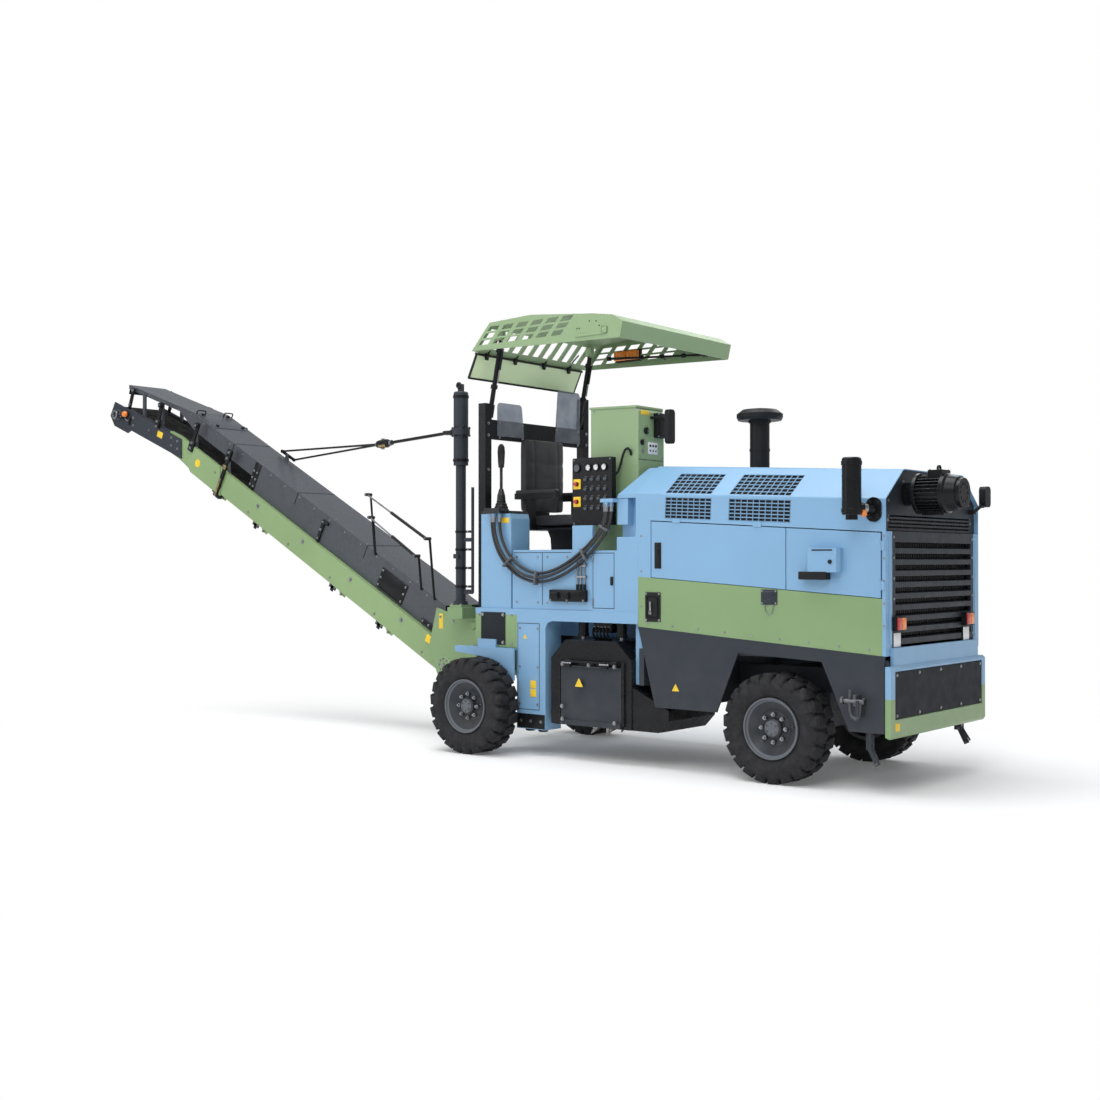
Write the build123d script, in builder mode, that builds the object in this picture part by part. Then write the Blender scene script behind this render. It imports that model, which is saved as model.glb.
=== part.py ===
from build123d import *
from math import cos, pi, radians, tan
import os

# A compact wheeled cold planer: engine module at the front, operator's stand behind it,
# milling drum between the axles, discharge conveyor on a slewing carrier at the back.
# Millimetres. +X is forward, +Y is the machine's left, +Z is up.
# The origin is on the ground, under the middle of the front axle.

os.makedirs("parts", exist_ok=True)

# ---------------------------------------------------------------- wheels and axles
wheel_r = 350
tyre_w = 236
tread_w = 168
rim_r = 196
rim_w = 210
wheel_base = 2430
front_wheel_y = 648
rear_right_y = 860
rear_left_y = 585
hub_r = 62
nut_circle = 88
spindle_r = 30
king_y = 470
king_r = 22
arm_x = -200
pin_gap = 0.05
spin_gap = 0.3
axle_z = wheel_r
axle_pin_z = axle_z + 95
axle_pin_r = 25

# ---------------------------------------------------------------- engine module
half_w = 700
skin = 6
seam = 6
door_t = 25
nose_x = 765
tail_x = -1060
shoulder_y = 450
roof_round = 60
shoulder_round = 18
door_split_x = 85
door_tail_x = -952
door_nose_x = nose_x - 30
post_x = door_nose_x + seam
hinge_out = 4
hinge_r = 3.8
hinge_x = door_nose_x - seam / 2 + 2
lap = 5  # how far the panels and posts run up into the hood's wall

# Body lines fall towards the nose: (height at tail_x, height at nose_x).
hood_top = (2070, 1976)
shoulder = (1873, 1785)
door_top = (1690, 1584)
band_top = (1302, 1180)
band_low = (962, 836)

# Vent fields of the hood: (first column, columns, lowest row over the shoulder line, row pitch)
vent_pitch_x = 45
vent_slot = (31, 13)
vent_rows = 6
vent_fields = [
    (-812, 8, -152, 23),
    (-312, 10, -152, 23),
    (-812, 8, 30, 37),
    (-312, 10, 30, 37),
]


def line_z(line, x):
    """Height of a body line at station x."""
    tail, nose = line
    return tail + (nose - tail) * (x - tail_x) / (nose_x - tail_x)


# ---------------------------------------------------------------- frame
skirt_t = 12
skirt_low_rear = 420
skirt_low_front = 370
arch_low = (-430, 520)
arch_high = (-266, 335)
arch_top_z = 785
skirt_tail_low_x = -920
floor_z = 800
floor_t = 12
beam_y = 290
beam_w = 60
beam_z = (560, 720)
side_tank_x = (-900, -480)
side_tank_z = (470, 740)
eye_x = 610
eye_z = 520
eye_r = 22
eye_out = 70

# ---------------------------------------------------------------- nose
bumper_front_x = 806
bumper_z = (340, 775)
bumper_half_w = 712
bumper_panel_half_w = 660
bumper_panel_z = (455, 745)
bumper_panel_t = 8
strip_half_w = 640
strip_high = 885
grille_half_w = 612
grille_z = (900, 1590)
grille_t = 26
slot_half_w = 572
slot_count = 9
slot_pitch = 69
slot_h = 37
slot_first_z = 1506
plate_x = nose_x - 34
plate_t = 6
louvre_count = 4
louvre_pitch = 23
louvre_first_z = 1616
motor_y = -360
motor_z = 1822
motor_fins = 30
muffler = (615, -845)
muffler_r = 58
flange_x = 690
flange_z = 1720
intake_x = -520
intake_r = 68

# ---------------------------------------------------------------- rear frame and stand
deck_z = 1060
deck_t = 45
deck_tail_x = -2560
bay_rear_x = -1880
bay_front_x = tail_x - 2
bay_strip_low = 978
bay_round = 55
column_tail_x = -2150
column_low = 190
column_w = 180
left_panel_tail_x = -2040
left_panel_low = 420
left_panel_t = 20
rail_y = 230
rail_w = 60
rail_z = (850, 1010)
right_leg_y = 610
left_leg_y = 385
leg_r = 55
fender_y = -720
fender_t = 15
tank_tail_x = -1460
tank_step_x = -1240
tank_step_z = 1483
tank_brow_z = 1840
cabinet_x = (-1620, -1200)
cabinet_y = (-500, -190)
cabinet_top = 2500
panel_x = (-1675, -1325)
panel_y = (-645, -595)
panel_z = (1660, 2140)
console_x = (-2510, -2215)
console_y = (-690, -480)
console_top = 1780
wall_x = (-2200, -1640)
wall_top = 1490
seat_y = -60
seat_half_w = 235
seat_x = (-2375, -1935)
seat_z = (1660, 1765)
back_x = (-2490, -2390)
back_z = (1785, 2350)

# ---------------------------------------------------------------- milling unit
drum_x = -1480
drum_z = 460
drum_core_r = 205
drum_tip_r = 290
drum_y = (-650, -150)
drum_shaft_r = 45.7
housing_wall = 12
housing_x = (-1835, -1125)
housing_low = 245
housing_high = rail_z[0]
housing_brow = 130
housing_y = (drum_y[0] - 38, drum_y[1] + 60)
holder_w = 34
pick_rows = 13
picks_per_row = 3
row_turn = 25
edge_plate_t = 12
edge_plate_x = (-1735, -1205)
edge_plate_z = (250, 670)

# ---------------------------------------------------------------- canopy and guard
canopy_half_w = 700
canopy_t = 8
canopy_tail = (-2600, 2990)
canopy_brow = (-2420, 3185)
canopy_crown = (-2020, 3200)
canopy_front = (-1450, 3146)
canopy_lip = (-1280, 3120)
canopy_nose = (-1190, 3066)
canopy_foot = (-1215, 2955)
cell_columns = 6
cell_pitch = 140
cell_w = 96
cell_rows = (42, 90, 138)
cell_h = 34
slat_pitch = 122
slat_w = 74
flap_x = -2690
flap_low = 2800
flap_half_w = 640
strut_r = 18
strut_low = (-2560, 2480)
strut_top = (-2440, 3070)
sleeve_z = (2500, 2580)
guard_x = -2590
guard_y = 600
guard_post = 70
guard_tops = (2600, 2735)
guard_panel = (2330, 2480)
guard_panel_x = (-2538, -2520)
screen_t = 6
# Wind screens: (outer y, inner y at the foot, inner y at the top, height of the top)
screens = [(-500, -190, -220, 2615), (510, 190, 230, 2775)]

# ---------------------------------------------------------------- conveyor and carrier
slew_x = -2680
slew_pin_r = 30
carrier_y = 300
carrier_t = 18
carrier_front_x = -2720
carrier_tail_x = -3334
lift_x = -3250
lift_z = 575
lift_pin_r = 25
slope = 28.1
head_slope = 21.0
knee_x = -6850
joint_x = -7000
head_x = -7950
conv_low_x = -3010
datum_x = -4978
datum_z = 1622.5
belt_half_w = 195
belt_t = 12
belt_mid = 108
belt_gap = 0.3
belt_tail_x = -3130
belt_head_x = -7860
pulley_r = 76
pulley_shaft_r = 24
idler_r = 34
idler_shaft_r = 12
idler_first_x = -3800
idler_pitch = 620
idler_count = 5
return_r = 30
return_shaft_r = 10
return_x = (-3977, -4560, -5609, -6214)
side_y = 215
side_t = 45
side_h = 217
head_h = 190
cover_h = 270
cover_t = 8
cover_low_x = -3330
cover_head_x = -7760
wall_head_x = -5780
bracket_x = (-6640, -6140, -5820)
lug_x = -5790
lug_y = 200
lug_rise = 40
stay_pin_r = 9
mast_x = -2990
mast_y = -400
mast_rod_r = 40
mast_barrel_r = 58
mast_low = 1065
mast_rod_top = 2205
mast_split = 2160
mast_high = 2740
collar_z = 2425
collar_r = 72


def block(x, y, z, mode=Mode.ADD):
    """A block between two planes on each axis, in the part being built."""
    centre = ((x[0] + x[1]) / 2, (y[0] + y[1]) / 2, (z[0] + z[1]) / 2)
    with Locations(centre):
        Box(abs(x[1] - x[0]), abs(y[1] - y[0]), abs(z[1] - z[0]), mode=mode)


def side_plate(points, y_low, y_high, mode=Mode.ADD):
    """A plate with its outline in X and Z, between two planes across the machine."""
    with BuildSketch(Plane.XZ.offset(-y_low)) as face:
        Polygon(*points, align=None)
    extrude(face.sketch, amount=-(y_high - y_low), mode=mode)


def bar(start, end, radius, mode=Mode.ADD):
    """A round bar from one point to another."""
    axis = Vector(*end) - Vector(*start)
    with BuildSketch(Plane(origin=start, z_dir=axis)) as face:
        Circle(radius)
    extrude(face.sketch, amount=axis.length, mode=mode)


def turned(outline, origin, along, mode=Mode.ADD):
    """A turned piece: an outline of (distance along the axis, radius) points."""
    axis = Vector(*along)
    up = Vector(0, 0, 1) if abs(axis.Z) < 0.5 else Vector(1, 0, 0)
    plane = Plane(origin=origin, x_dir=axis, z_dir=axis.cross(up))
    with BuildSketch(plane) as half:
        Polygon(*outline, align=None)
    revolve(half.sketch, axis=Axis(origin, along), mode=mode)


# ================================================================ frame
# Two long beams, a floor, cross members and the side tanks between the wheels.
inner_w = half_w - skirt_t
with BuildPart() as main_frame:
    for side in (-1, 1):
        beam = side * beam_y
        block((tail_x, nose_x), (beam - beam_w / 2, beam + beam_w / 2), beam_z)
        tank_y = sorted((side * (beam_y + beam_w / 2 - 8), side * inner_w))
        block(side_tank_x, tank_y, side_tank_z)
    block((tail_x, nose_x - 10), (-inner_w, inner_w), (floor_z, floor_z + floor_t))
    block((nose_x - 30, nose_x), (-inner_w, inner_w), (skirt_low_front, floor_z))
    block((-620, -540), (-inner_w, inner_w), (beam_z[0], floor_z))
    block((tail_x, tail_x + 40), (-inner_w, inner_w), (beam_z[0], floor_z))
    block((-120, 120), (-beam_y, beam_y), (640, beam_z[1]))
    for end in (-60, 40):
        block((end, end + 20), (-70, 70), (axle_z + 55, 640))
    bar((-70, 0, axle_pin_z), (70, 0, axle_pin_z), axle_pin_r + pin_gap, mode=Mode.SUBTRACT)
main_frame.part.label = "main_frame"
export_step(main_frame.part, "parts/main_frame.step")

# Side skirts with the wheel arches cut out, a lashing eye and a hanging tie-down link each.
skirt_outline = [
    (tail_x, line_z(band_low, tail_x)),
    (nose_x - 10, line_z(band_low, nose_x - 10)),
    (nose_x - 10, skirt_low_front),
    (arch_low[1], skirt_low_front),
    (arch_high[1], arch_top_z),
    (arch_high[0], arch_top_z + 30),
    (arch_low[0], skirt_low_rear),
    (skirt_tail_low_x, skirt_low_rear),
]
with BuildPart() as side_skirts:
    for side in (-1, 1):
        side_plate(skirt_outline, *sorted((side * half_w, side * inner_w)))
        block((eye_x - 10, eye_x + 10), (side * half_w, side * (half_w + eye_out)), (eye_z - 50, eye_z + 50))
        with BuildSketch(Plane.YZ.offset(eye_x - 11)) as eye:
            with Locations((side * (half_w + eye_out / 2), eye_z)):
                Circle(eye_r)
        extrude(eye.sketch, amount=22, mode=Mode.SUBTRACT)
        link_y = side * (half_w - skirt_t / 2)
        bar((655, link_y, skirt_low_front + 20), (658, link_y, 265), 6)
        bar((658, link_y, 268), (708, link_y, 192), 6)
side_skirts.part.label = "side_skirts"
export_step(side_skirts.part, "parts/side_skirts.step")

# The front axle swings on a middle pin between the frame's two lugs and ends in kingpin eyes.
with BuildPart() as front_axle:
    beam_shape = [
        (-king_y + 70, axle_z - 55),
        (king_y - 70, axle_z - 55),
        (king_y - 70, axle_z + 30),
        (150, axle_z + 58),
        (-150, axle_z + 58),
        (-king_y + 70, axle_z + 30),
    ]
    with BuildSketch(Plane.YZ.offset(-38)) as face:
        Polygon(*beam_shape, align=None)
    extrude(face.sketch, amount=76)
    for side in (-1, 1):
        eye_y = (side * (king_y - 75), side * (king_y + 30))
        block((-38, 38), eye_y, (axle_z + 75, axle_z + 105))
        block((-38, 38), eye_y, (axle_z - 105, axle_z - 75))
        block((-38, 38), (side * (king_y - 75), side * (king_y - 105)), (axle_z - 105, axle_z + 105))
        with Locations((0, side * king_y, axle_z)):
            Cylinder(king_r + pin_gap, 400, mode=Mode.SUBTRACT)
    block((-35, 35), (-60, 60), (axle_z + 40, axle_z + 130))
    bar((-60, 0, axle_pin_z), (60, 0, axle_pin_z), axle_pin_r)
front_axle.part.label = "front_axle"
export_step(front_axle.part, "parts/front_axle.step")

# Steering knuckles: a kingpin through the axle's eyes, a body and the wheel spindle.
ball_z = axle_z - 52
for side, name in ((-1, "right"), (1, "left")):
    with BuildPart() as knuckle:
        with Locations((0, side * king_y, axle_z)):
            Cylinder(king_r, 214)
        block((-45, 45), (side * (king_y - 30), side * (king_y + 45)), (axle_z - 72, axle_z + 72))
        bar((0, side * king_y, axle_z), (0, side * (front_wheel_y + 40), axle_z), spindle_r)
        arm = [(-40, axle_z + 4), (-40, axle_z - 44), (arm_x - 28, axle_z - 28), (arm_x - 28, axle_z - 8)]
        side_plate(arm, *sorted((side * (king_y - 28), side * (king_y + 15))))
        bar((arm_x, side * king_y, ball_z - 15), (arm_x, side * king_y, axle_z - 10), 9)
    knuckle.part.label = f"knuckle_{name}"
    export_step(knuckle.part, f"parts/knuckle_{name}.step")

with BuildPart() as tie_rod:
    bar((arm_x, -king_y + 14, ball_z), (arm_x, king_y - 14, ball_z), 11)
    for side in (-1, 1):
        with Locations((arm_x, side * king_y, ball_z)):
            Cylinder(25, 23)
            Cylinder(9 + spin_gap, 30, mode=Mode.SUBTRACT)
tie_rod.part.label = "tie_rod"
export_step(tie_rod.part, "parts/tie_rod.step")

# Wheels: (name, x, y of the middle, side the hub faces)
wheels = [
    ("front_right", 0, -front_wheel_y, -1),
    ("front_left", 0, front_wheel_y, 1),
    ("rear_right", -wheel_base, -rear_right_y, -1),
    ("rear_left", -wheel_base, rear_left_y, 1),
]
bead = rim_w / 2
tread = tread_w / 2
wall_mid_r = (wheel_r + rim_r) / 2
rim_profile = [
    (-bead, rim_r),
    (-bead, rim_r - 22),
    (-bead + 30, rim_r - 34),
    (10, rim_r - 34),
    (30, 120),
    (30, spindle_r + spin_gap),
    (46, spindle_r + spin_gap),
    (46, 112),
    (bead - 24, rim_r - 30),
    (bead - 12, rim_r - 14),
    (bead, rim_r - 10),
    (bead, rim_r),
]
tyre_side = [
    (tread, wheel_r),
    (bead + 8, wheel_r - 22),
    (tyre_w / 2 - 2, wall_mid_r + 45),
    (tyre_w / 2, wall_mid_r),
    (tyre_w / 2 - 7, rim_r + 32),
    (bead, rim_r),
]
tyre_profile = tyre_side + [(-along, radius) for along, radius in reversed(tyre_side)]
for name, x, y, side in wheels:
    wheel_plane = Plane(origin=(x, y, axle_z), x_dir=(0, side, 0), z_dir=(side, 0, 0))
    wheel_axis = Axis((x, y, axle_z), (0, 1, 0))
    with BuildPart() as tyre:
        with BuildSketch(wheel_plane) as section:
            Polygon(*tyre_profile, align=None)
        revolve(section.sketch, axis=wheel_axis)
    tyre.part.label = f"tyre_{name}"
    export_step(tyre.part, f"parts/tyre_{name}.step")
    with BuildPart() as rim:
        with BuildSketch(wheel_plane) as section:
            Polygon(*rim_profile, align=None)
        revolve(section.sketch, axis=wheel_axis)
        turned([(44, 0), (44, hub_r), (76, hub_r), (84, hub_r - 10), (90, hub_r - 22), (90, 0)],
               (x, y, axle_z), (0, side, 0))
        bar((x, y + side * 20, axle_z), (x, y + side * 40, axle_z), spindle_r + spin_gap, mode=Mode.SUBTRACT)
        with BuildSketch(Plane(origin=(x, y + side * 46, axle_z), z_dir=(0, side, 0))) as nuts:
            with PolarLocations(nut_circle, 8):
                RegularPolygon(13, 6)
        extrude(nuts.sketch, amount=14)
    rim.part.label = f"rim_{name}"
    export_step(rim.part, f"parts/rim_{name}.step")

# ================================================================ engine module
with BuildPart() as engine_block:
    block((-620, 330), (-330, 330), (floor_z + floor_t, 1500))
engine_block.part.label = "engine_block"
export_step(engine_block.part, "parts/engine_block.step")


def hood_face(x, inset):
    """The hood's section across the machine at station x, moved in by the skin."""
    low = line_z(door_top, x)
    mid = line_z(shoulder, x) - inset / 2
    top = line_z(hood_top, x) - inset
    wide = half_w - inset
    flat = shoulder_y - inset / 3
    with BuildSketch(Plane.YZ.offset(x)) as face:
        Polygon((-wide, low), (wide, low), (wide, mid), (flat, top), (-flat, top), (-wide, mid), align=None)
        fillet(face.vertices().group_by(Axis.Y)[-1], roof_round - inset)
        fillet(face.vertices().sort_by(Axis.X)[0:2].sort_by(Axis.Y)[-1:], shoulder_round - inset / 2)
        fillet(face.vertices().sort_by(Axis.X)[-2:].sort_by(Axis.Y)[-1:], shoulder_round - inset / 2)
    return face.sketch


def hood_point(x, rise, side):
    """A point on the hood's slope, or on the wall below it, at a distance up from the shoulder line."""
    z = line_z(shoulder, x)
    if rise < 0:
        return Vector(x, side * half_w, z + rise)
    width = half_w - shoulder_y
    height = line_z(hood_top, x) - z
    share = rise / (width ** 2 + height ** 2) ** 0.5
    return Vector(x, side * (half_w - share * width), z + share * height)


def vent_plane(field, side):
    """The plane in the middle of a vent field, facing out, with its X along the body line."""
    first_x, columns, first_rise, pitch = field
    mid_x = first_x + (columns - 1) * vent_pitch_x / 2
    mid_rise = first_rise + (vent_rows - 1) * pitch / 2
    middle = hood_point(mid_x, mid_rise, side)
    along = hood_point(mid_x + 50, mid_rise, side) - middle
    up = hood_point(mid_x, mid_rise + 5, side) - middle
    out = along.cross(up) * -side
    return Plane(origin=middle, x_dir=along, z_dir=out)


def vent_size(field):
    """The length and height of a vent field's window."""
    columns, pitch = field[1], field[3]
    return (columns * vent_pitch_x + 4, vent_rows * pitch + 4)


with BuildPart() as hood:
    loft([hood_face(tail_x, 0), hood_face(nose_x, 0)], ruled=True)
    loft([hood_face(tail_x + skin, skin), hood_face(nose_x + 1, skin)], ruled=True, mode=Mode.SUBTRACT)
    for side in (-1, 1):
        # the tail panel and the nose post on each side, with the rear wall between them
        y_span = sorted((side * half_w, side * (half_w - 30)))
        panel_nose = door_tail_x - seam / 2
        tail_panel = [
            (tail_x, line_z(band_top, tail_x)),
            (panel_nose, line_z(band_top, panel_nose)),
            (panel_nose, line_z(door_top, panel_nose) + lap),
            (tail_x, line_z(door_top, tail_x) + lap),
        ]
        side_plate(tail_panel, *y_span)
        post = [
            (post_x, line_z(band_low, post_x)),
            (nose_x, line_z(band_low, nose_x)),
            (nose_x, line_z(door_top, nose_x) + lap),
            (post_x, line_z(door_top, post_x) + lap),
        ]
        side_plate(post, *sorted((side * half_w, side * (grille_half_w + 0.3))))
        # hinge leaves with their barrels: two over each rear door, two before each front door
        out = side * (half_w + hinge_out)
        leaf_y = (side * half_w, side * (half_w + hinge_out))
        for share in (0.2, 0.8):
            x = door_tail_x + share * (door_split_x - door_tail_x)
            z = line_z(door_top, x) - hinge_out
            block((x - 30, x + 30), leaf_y, (z - 0.5, z + 32))
            bar((x - 30, out, line_z(door_top, x - 30) - 4), (x + 30, out, line_z(door_top, x + 30) - 4), hinge_r)
            z = line_z(band_top, door_nose_x) + share * 400
            block((hinge_x, hinge_x + 24), leaf_y, (z - 30, z + 30))
            bar((hinge_x, out, z - 30), (hinge_x, out, z + 30), hinge_r)
        for field in vent_fields:
            with BuildSketch(vent_plane(field, side)) as window:
                Rectangle(*vent_size(field))
            extrude(window.sketch, amount=skin * 2, both=True, mode=Mode.SUBTRACT)
    rear_wall_y = half_w - 30
    block((tail_x, tail_x + skin), (-rear_wall_y, rear_wall_y), (deck_z + 4, line_z(door_top, tail_x) + lap))
hood.part.label = "hood"
export_step(hood.part, "parts/hood.step")

# Vent plates in the hood's windows, slotted from top to bottom in each column.
edge_gap = 0.3
with BuildPart() as hood_vents:
    for side in (-1, 1):
        for field in vent_fields:
            width, height = vent_size(field)
            with BuildSketch(vent_plane(field, side)) as plate:
                Rectangle(width - 2 * edge_gap, height - 2 * edge_gap)
                with GridLocations(vent_pitch_x, 0, field[1], 1):
                    Rectangle(vent_slot[0], height - 16, mode=Mode.SUBTRACT)
            extrude(plate.sketch, amount=-(skin - 2))
hood_vents.part.label = "hood_vents"
export_step(hood_vents.part, "parts/hood_vents.step")

# Green band: one long panel on each side under the doors.
with BuildPart() as side_bands:
    band = [
        (tail_x, line_z(band_low, tail_x)),
        (post_x, line_z(band_low, post_x)),
        (post_x, line_z(band_top, post_x)),
        (tail_x, line_z(band_top, tail_x)),
    ]
    for side in (-1, 1):
        side_plate(band, *sorted((side * half_w, side * (half_w - 28))))
side_bands.part.label = "side_bands"
export_step(side_bands.part, "parts/side_bands.step")

# Engine doors: (name, side, tail station, nose station). The front ones carry a filler box with a grip.
doors = [
    ("right_rear_door", -1, door_tail_x, door_split_x),
    ("left_rear_door", 1, door_tail_x, door_split_x),
    ("right_front_door", -1, door_split_x, door_nose_x),
    ("left_front_door", 1, door_split_x, door_nose_x),
]
box_out = 60
box_x = (270, 480)
box_z = (1340, 1490)
grip_x = (207, 398)
grip_z = (1300, 1345)
for name, side, tail, nose in doors:
    a = tail + seam / 2
    b = nose - seam / 2
    outline = [
        (a, line_z(band_top, a) + 4),
        (b, line_z(band_top, b) + 4),
        (b, line_z(door_top, b) - seam),
        (a, line_z(door_top, a) - seam),
    ]
    with BuildPart() as door:
        side_plate(outline, *sorted((side * half_w, side * (half_w - door_t))))
        if "front" in name:
            face_y = side * half_w
            foot = side * (half_w - 5)
            rim_y = side * (half_w + box_out)
            edge_y = side * (half_w + box_out - 28)
            with BuildSketch(Plane.XY.offset(box_z[0])) as box_face:
                Polygon((box_x[0], foot), (box_x[1], foot), (box_x[1], edge_y), (box_x[1] - 12, rim_y),
                        (box_x[0], rim_y), align=None)
            extrude(box_face.sketch, amount=box_z[1] - box_z[0])
            with BuildSketch(Plane.YZ.offset(grip_x[0])) as grip_face:
                Polygon((foot, grip_z[0]), (edge_y, grip_z[0]), (rim_y, grip_z[0] + 12), (rim_y, grip_z[1]),
                        (foot, grip_z[1]), align=None)
            extrude(grip_face.sketch, amount=grip_x[1] - grip_x[0])
    door.part.label = name
    export_step(door.part, f"parts/{name}.step")

# ================================================================ nose
grille_back_x = nose_x - grille_t
with BuildPart() as front_grille:
    block((grille_back_x, nose_x), (-grille_half_w, grille_half_w), grille_z)
    for n in range(slot_count):
        mid = slot_first_z - n * slot_pitch
        low_lip = mid - slot_h / 2
        slot = [
            (grille_back_x - 1, low_lip + 9),
            (nose_x + 1, low_lip),
            (nose_x + 1, mid + slot_h / 2),
            (grille_back_x - 1, mid + slot_h / 2 + 9),
        ]
        side_plate(slot, -slot_half_w, slot_half_w, mode=Mode.SUBTRACT)
front_grille.part.label = "front_grille"
export_step(front_grille.part, "parts/front_grille.step")

with BuildPart() as hood_end_plate:
    inset = skin + 0.6
    low = grille_z[1] + 4
    wide = half_w - inset
    mid = line_z(shoulder, plate_x) - inset / 2
    top = line_z(hood_top, plate_x) - inset
    flat = shoulder_y - inset / 3
    with BuildSketch(Plane.YZ.offset(plate_x)) as face:
        Polygon((-wide, low), (wide, low), (wide, mid), (flat, top), (-flat, top), (-wide, mid), align=None)
        fillet(face.vertices().group_by(Axis.Y)[-1], roof_round)
        fillet(face.vertices().sort_by(Axis.X)[0:2].sort_by(Axis.Y)[-1:], shoulder_round + 3)
        fillet(face.vertices().sort_by(Axis.X)[-2:].sort_by(Axis.Y)[-1:], shoulder_round + 3)
        for n in range(louvre_count):
            with Locations((0, louvre_first_z + n * louvre_pitch)):
                Rectangle(1220, 11, mode=Mode.SUBTRACT)
    extrude(face.sketch, amount=plate_t)
hood_end_plate.part.label = "hood_end_plate"
export_step(hood_end_plate.part, "parts/hood_end_plate.step")

bumper_panel_y = (-bumper_panel_half_w, bumper_panel_half_w)
recess_x = bumper_front_x - 12
with BuildPart() as front_bumper:
    bumper_outline = [
        (nose_x, bumper_z[0] + 12),
        (bumper_front_x - 14, bumper_z[0]),
        (bumper_front_x, bumper_z[0] + 20),
        (bumper_front_x, bumper_z[1] - 16),
        (bumper_front_x - 16, bumper_z[1]),
        (nose_x, bumper_z[1]),
    ]
    side_plate(bumper_outline, -bumper_half_w, bumper_half_w)
    block((nose_x, bumper_front_x - 20), (-strip_half_w, strip_half_w), (bumper_z[1], strip_high))
    block((recess_x, bumper_front_x + 1), bumper_panel_y, bumper_panel_z, mode=Mode.SUBTRACT)
front_bumper.part.label = "front_bumper"
export_step(front_bumper.part, "parts/front_bumper.step")

with BuildPart() as bumper_panel:
    block((recess_x, recess_x + bumper_panel_t), (bumper_panel_y[0] + 4, bumper_panel_y[1] - 4),
          (bumper_panel_z[0] + 4, bumper_panel_z[1] - 4))
bumper_panel.part.label = "bumper_panel"
export_step(bumper_panel.part, "parts/bumper_panel.step")

# Tail lamps over blank plates: (y of the middle)
with BuildPart() as tail_lamps:
    for y in (-560, 478):
        block((nose_x, nose_x + 34), (y - 62, y + 62), (985, 1072))
        block((nose_x, nose_x + 6), (y - 50, y + 50), (886, 975))
tail_lamps.part.label = "tail_lamps"
export_step(tail_lamps.part, "parts/tail_lamps.step")

muffler_x, muffler_y = muffler
can_outline = [(0, 0), (0, 36), (30, 36), (30, 54), (34, muffler_r), (366, muffler_r), (374, 50), (374, 0)]
with BuildPart() as exhaust_muffler:
    turned(can_outline, (muffler_x, muffler_y, 1656), (0, 0, 1))
    bar((muffler_x, muffler_y, 1735), (flange_x, -half_w - 12, flange_z), 24)
    mid_x = (muffler_x + flange_x) / 2
    turned([(0, 0), (0, 30), (14, 36), (28, 30), (28, 0)], (mid_x - 12, (muffler_y - half_w) / 2 - 8, 1727),
           (flange_x - muffler_x, -half_w - muffler_y, 0))
    with BuildSketch(Plane.XZ.offset(half_w)) as flange:
        with Locations((flange_x, flange_z)):
            SlotOverall(150, 100, rotation=90)
    extrude(flange.sketch, amount=12)
exhaust_muffler.part.label = "exhaust_muffler"
export_step(exhaust_muffler.part, "parts/exhaust_muffler.step")

intake_outline = [
    (-900, 0),
    (-900, intake_r),
    (330, intake_r),
    (330, intake_r + 10),
    (345, intake_r + 10),
    (345, 150),
    (365, 160),
    (390, 160),
    (420, 120),
    (430, 40),
    (430, 0),
]
intake_base = line_z(hood_top, intake_x)
with BuildPart() as air_intake:
    turned(intake_outline, (intake_x, 0, intake_base), (0, 0, 1))
    low_faces = []
    for x in (intake_x - 100, intake_x + 100):
        with BuildSketch(Plane.YZ.offset(x)) as under:
            Polygon((-100, 1000), (100, 1000), (100, line_z(hood_top, x)), (-100, line_z(hood_top, x)), align=None)
        low_faces.append(under.sketch)
    loft(low_faces, ruled=True, mode=Mode.SUBTRACT)
air_intake.part.label = "air_intake"
export_step(air_intake.part, "parts/air_intake.step")

# The cooler's fan motor: neck, flange, finned body, cowl and a terminal box on top.
motor_x = plate_x + plate_t
motor_outline = [
    (0, 0),
    (0, 72),
    (85, 72),
    (85, 126),
    (105, 126),
    (105, 100),
    (255, 100),
    (255, 122),
    (280, 122),
    (292, 112),
    (350, 100),
    (350, 90),
    (378, 90),
    (378, 0),
]
with BuildPart() as fan_motor:
    turned(motor_outline, (motor_x, motor_y, motor_z), (1, 0, 0))
    with BuildSketch(Plane.YZ.offset(motor_x + 105)) as fins:
        with Locations((motor_y, motor_z)):
            with PolarLocations(104, motor_fins):
                Rectangle(26, 5)
    extrude(fins.sketch, amount=150)
    block((motor_x + 170, motor_x + 262), (motor_y - 62, motor_y + 62), (motor_z + 90, motor_z + 142))
    block((motor_x + 110, motor_x + 250), (motor_y - 14, motor_y + 14), (motor_z - 132, motor_z - 90))
fan_motor.part.label = "fan_motor"
export_step(fan_motor.part, "parts/fan_motor.step")

# Mirrors: one on the nose's left shoulder, one on the control cabinet.
with BuildPart() as mirrors:
    with BuildSketch(Plane.YZ.offset(784)) as face:
        with Locations((712, 1842)):
            RectangleRounded(92, 140, 30)
    extrude(face.sketch, amount=46)
    block((plate_x + plate_t, 776), (598, 634), (1722, 1752))
    bar((770, 615, 1737), (800, 690, 1790), 12)
    bar((798, 684, 1786), (802, 712, 1800), 22)
    with BuildSketch(Plane.YZ.offset(-1045)) as face:
        with Locations((-365, 2350)):
            RectangleRounded(78, 240, 26)
    extrude(face.sketch, amount=36)
    bar((cabinet_x[1] + 1, -350, 2425), (-1040, -352, 2410), 10)
    turned([(0, 0), (0, 18), (20, 26), (40, 18), (40, 0)], (-1095, -351, 2416), (1, 0, -0.08))
mirrors.part.label = "mirrors"
export_step(mirrors.part, "parts/mirrors.step")

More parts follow.
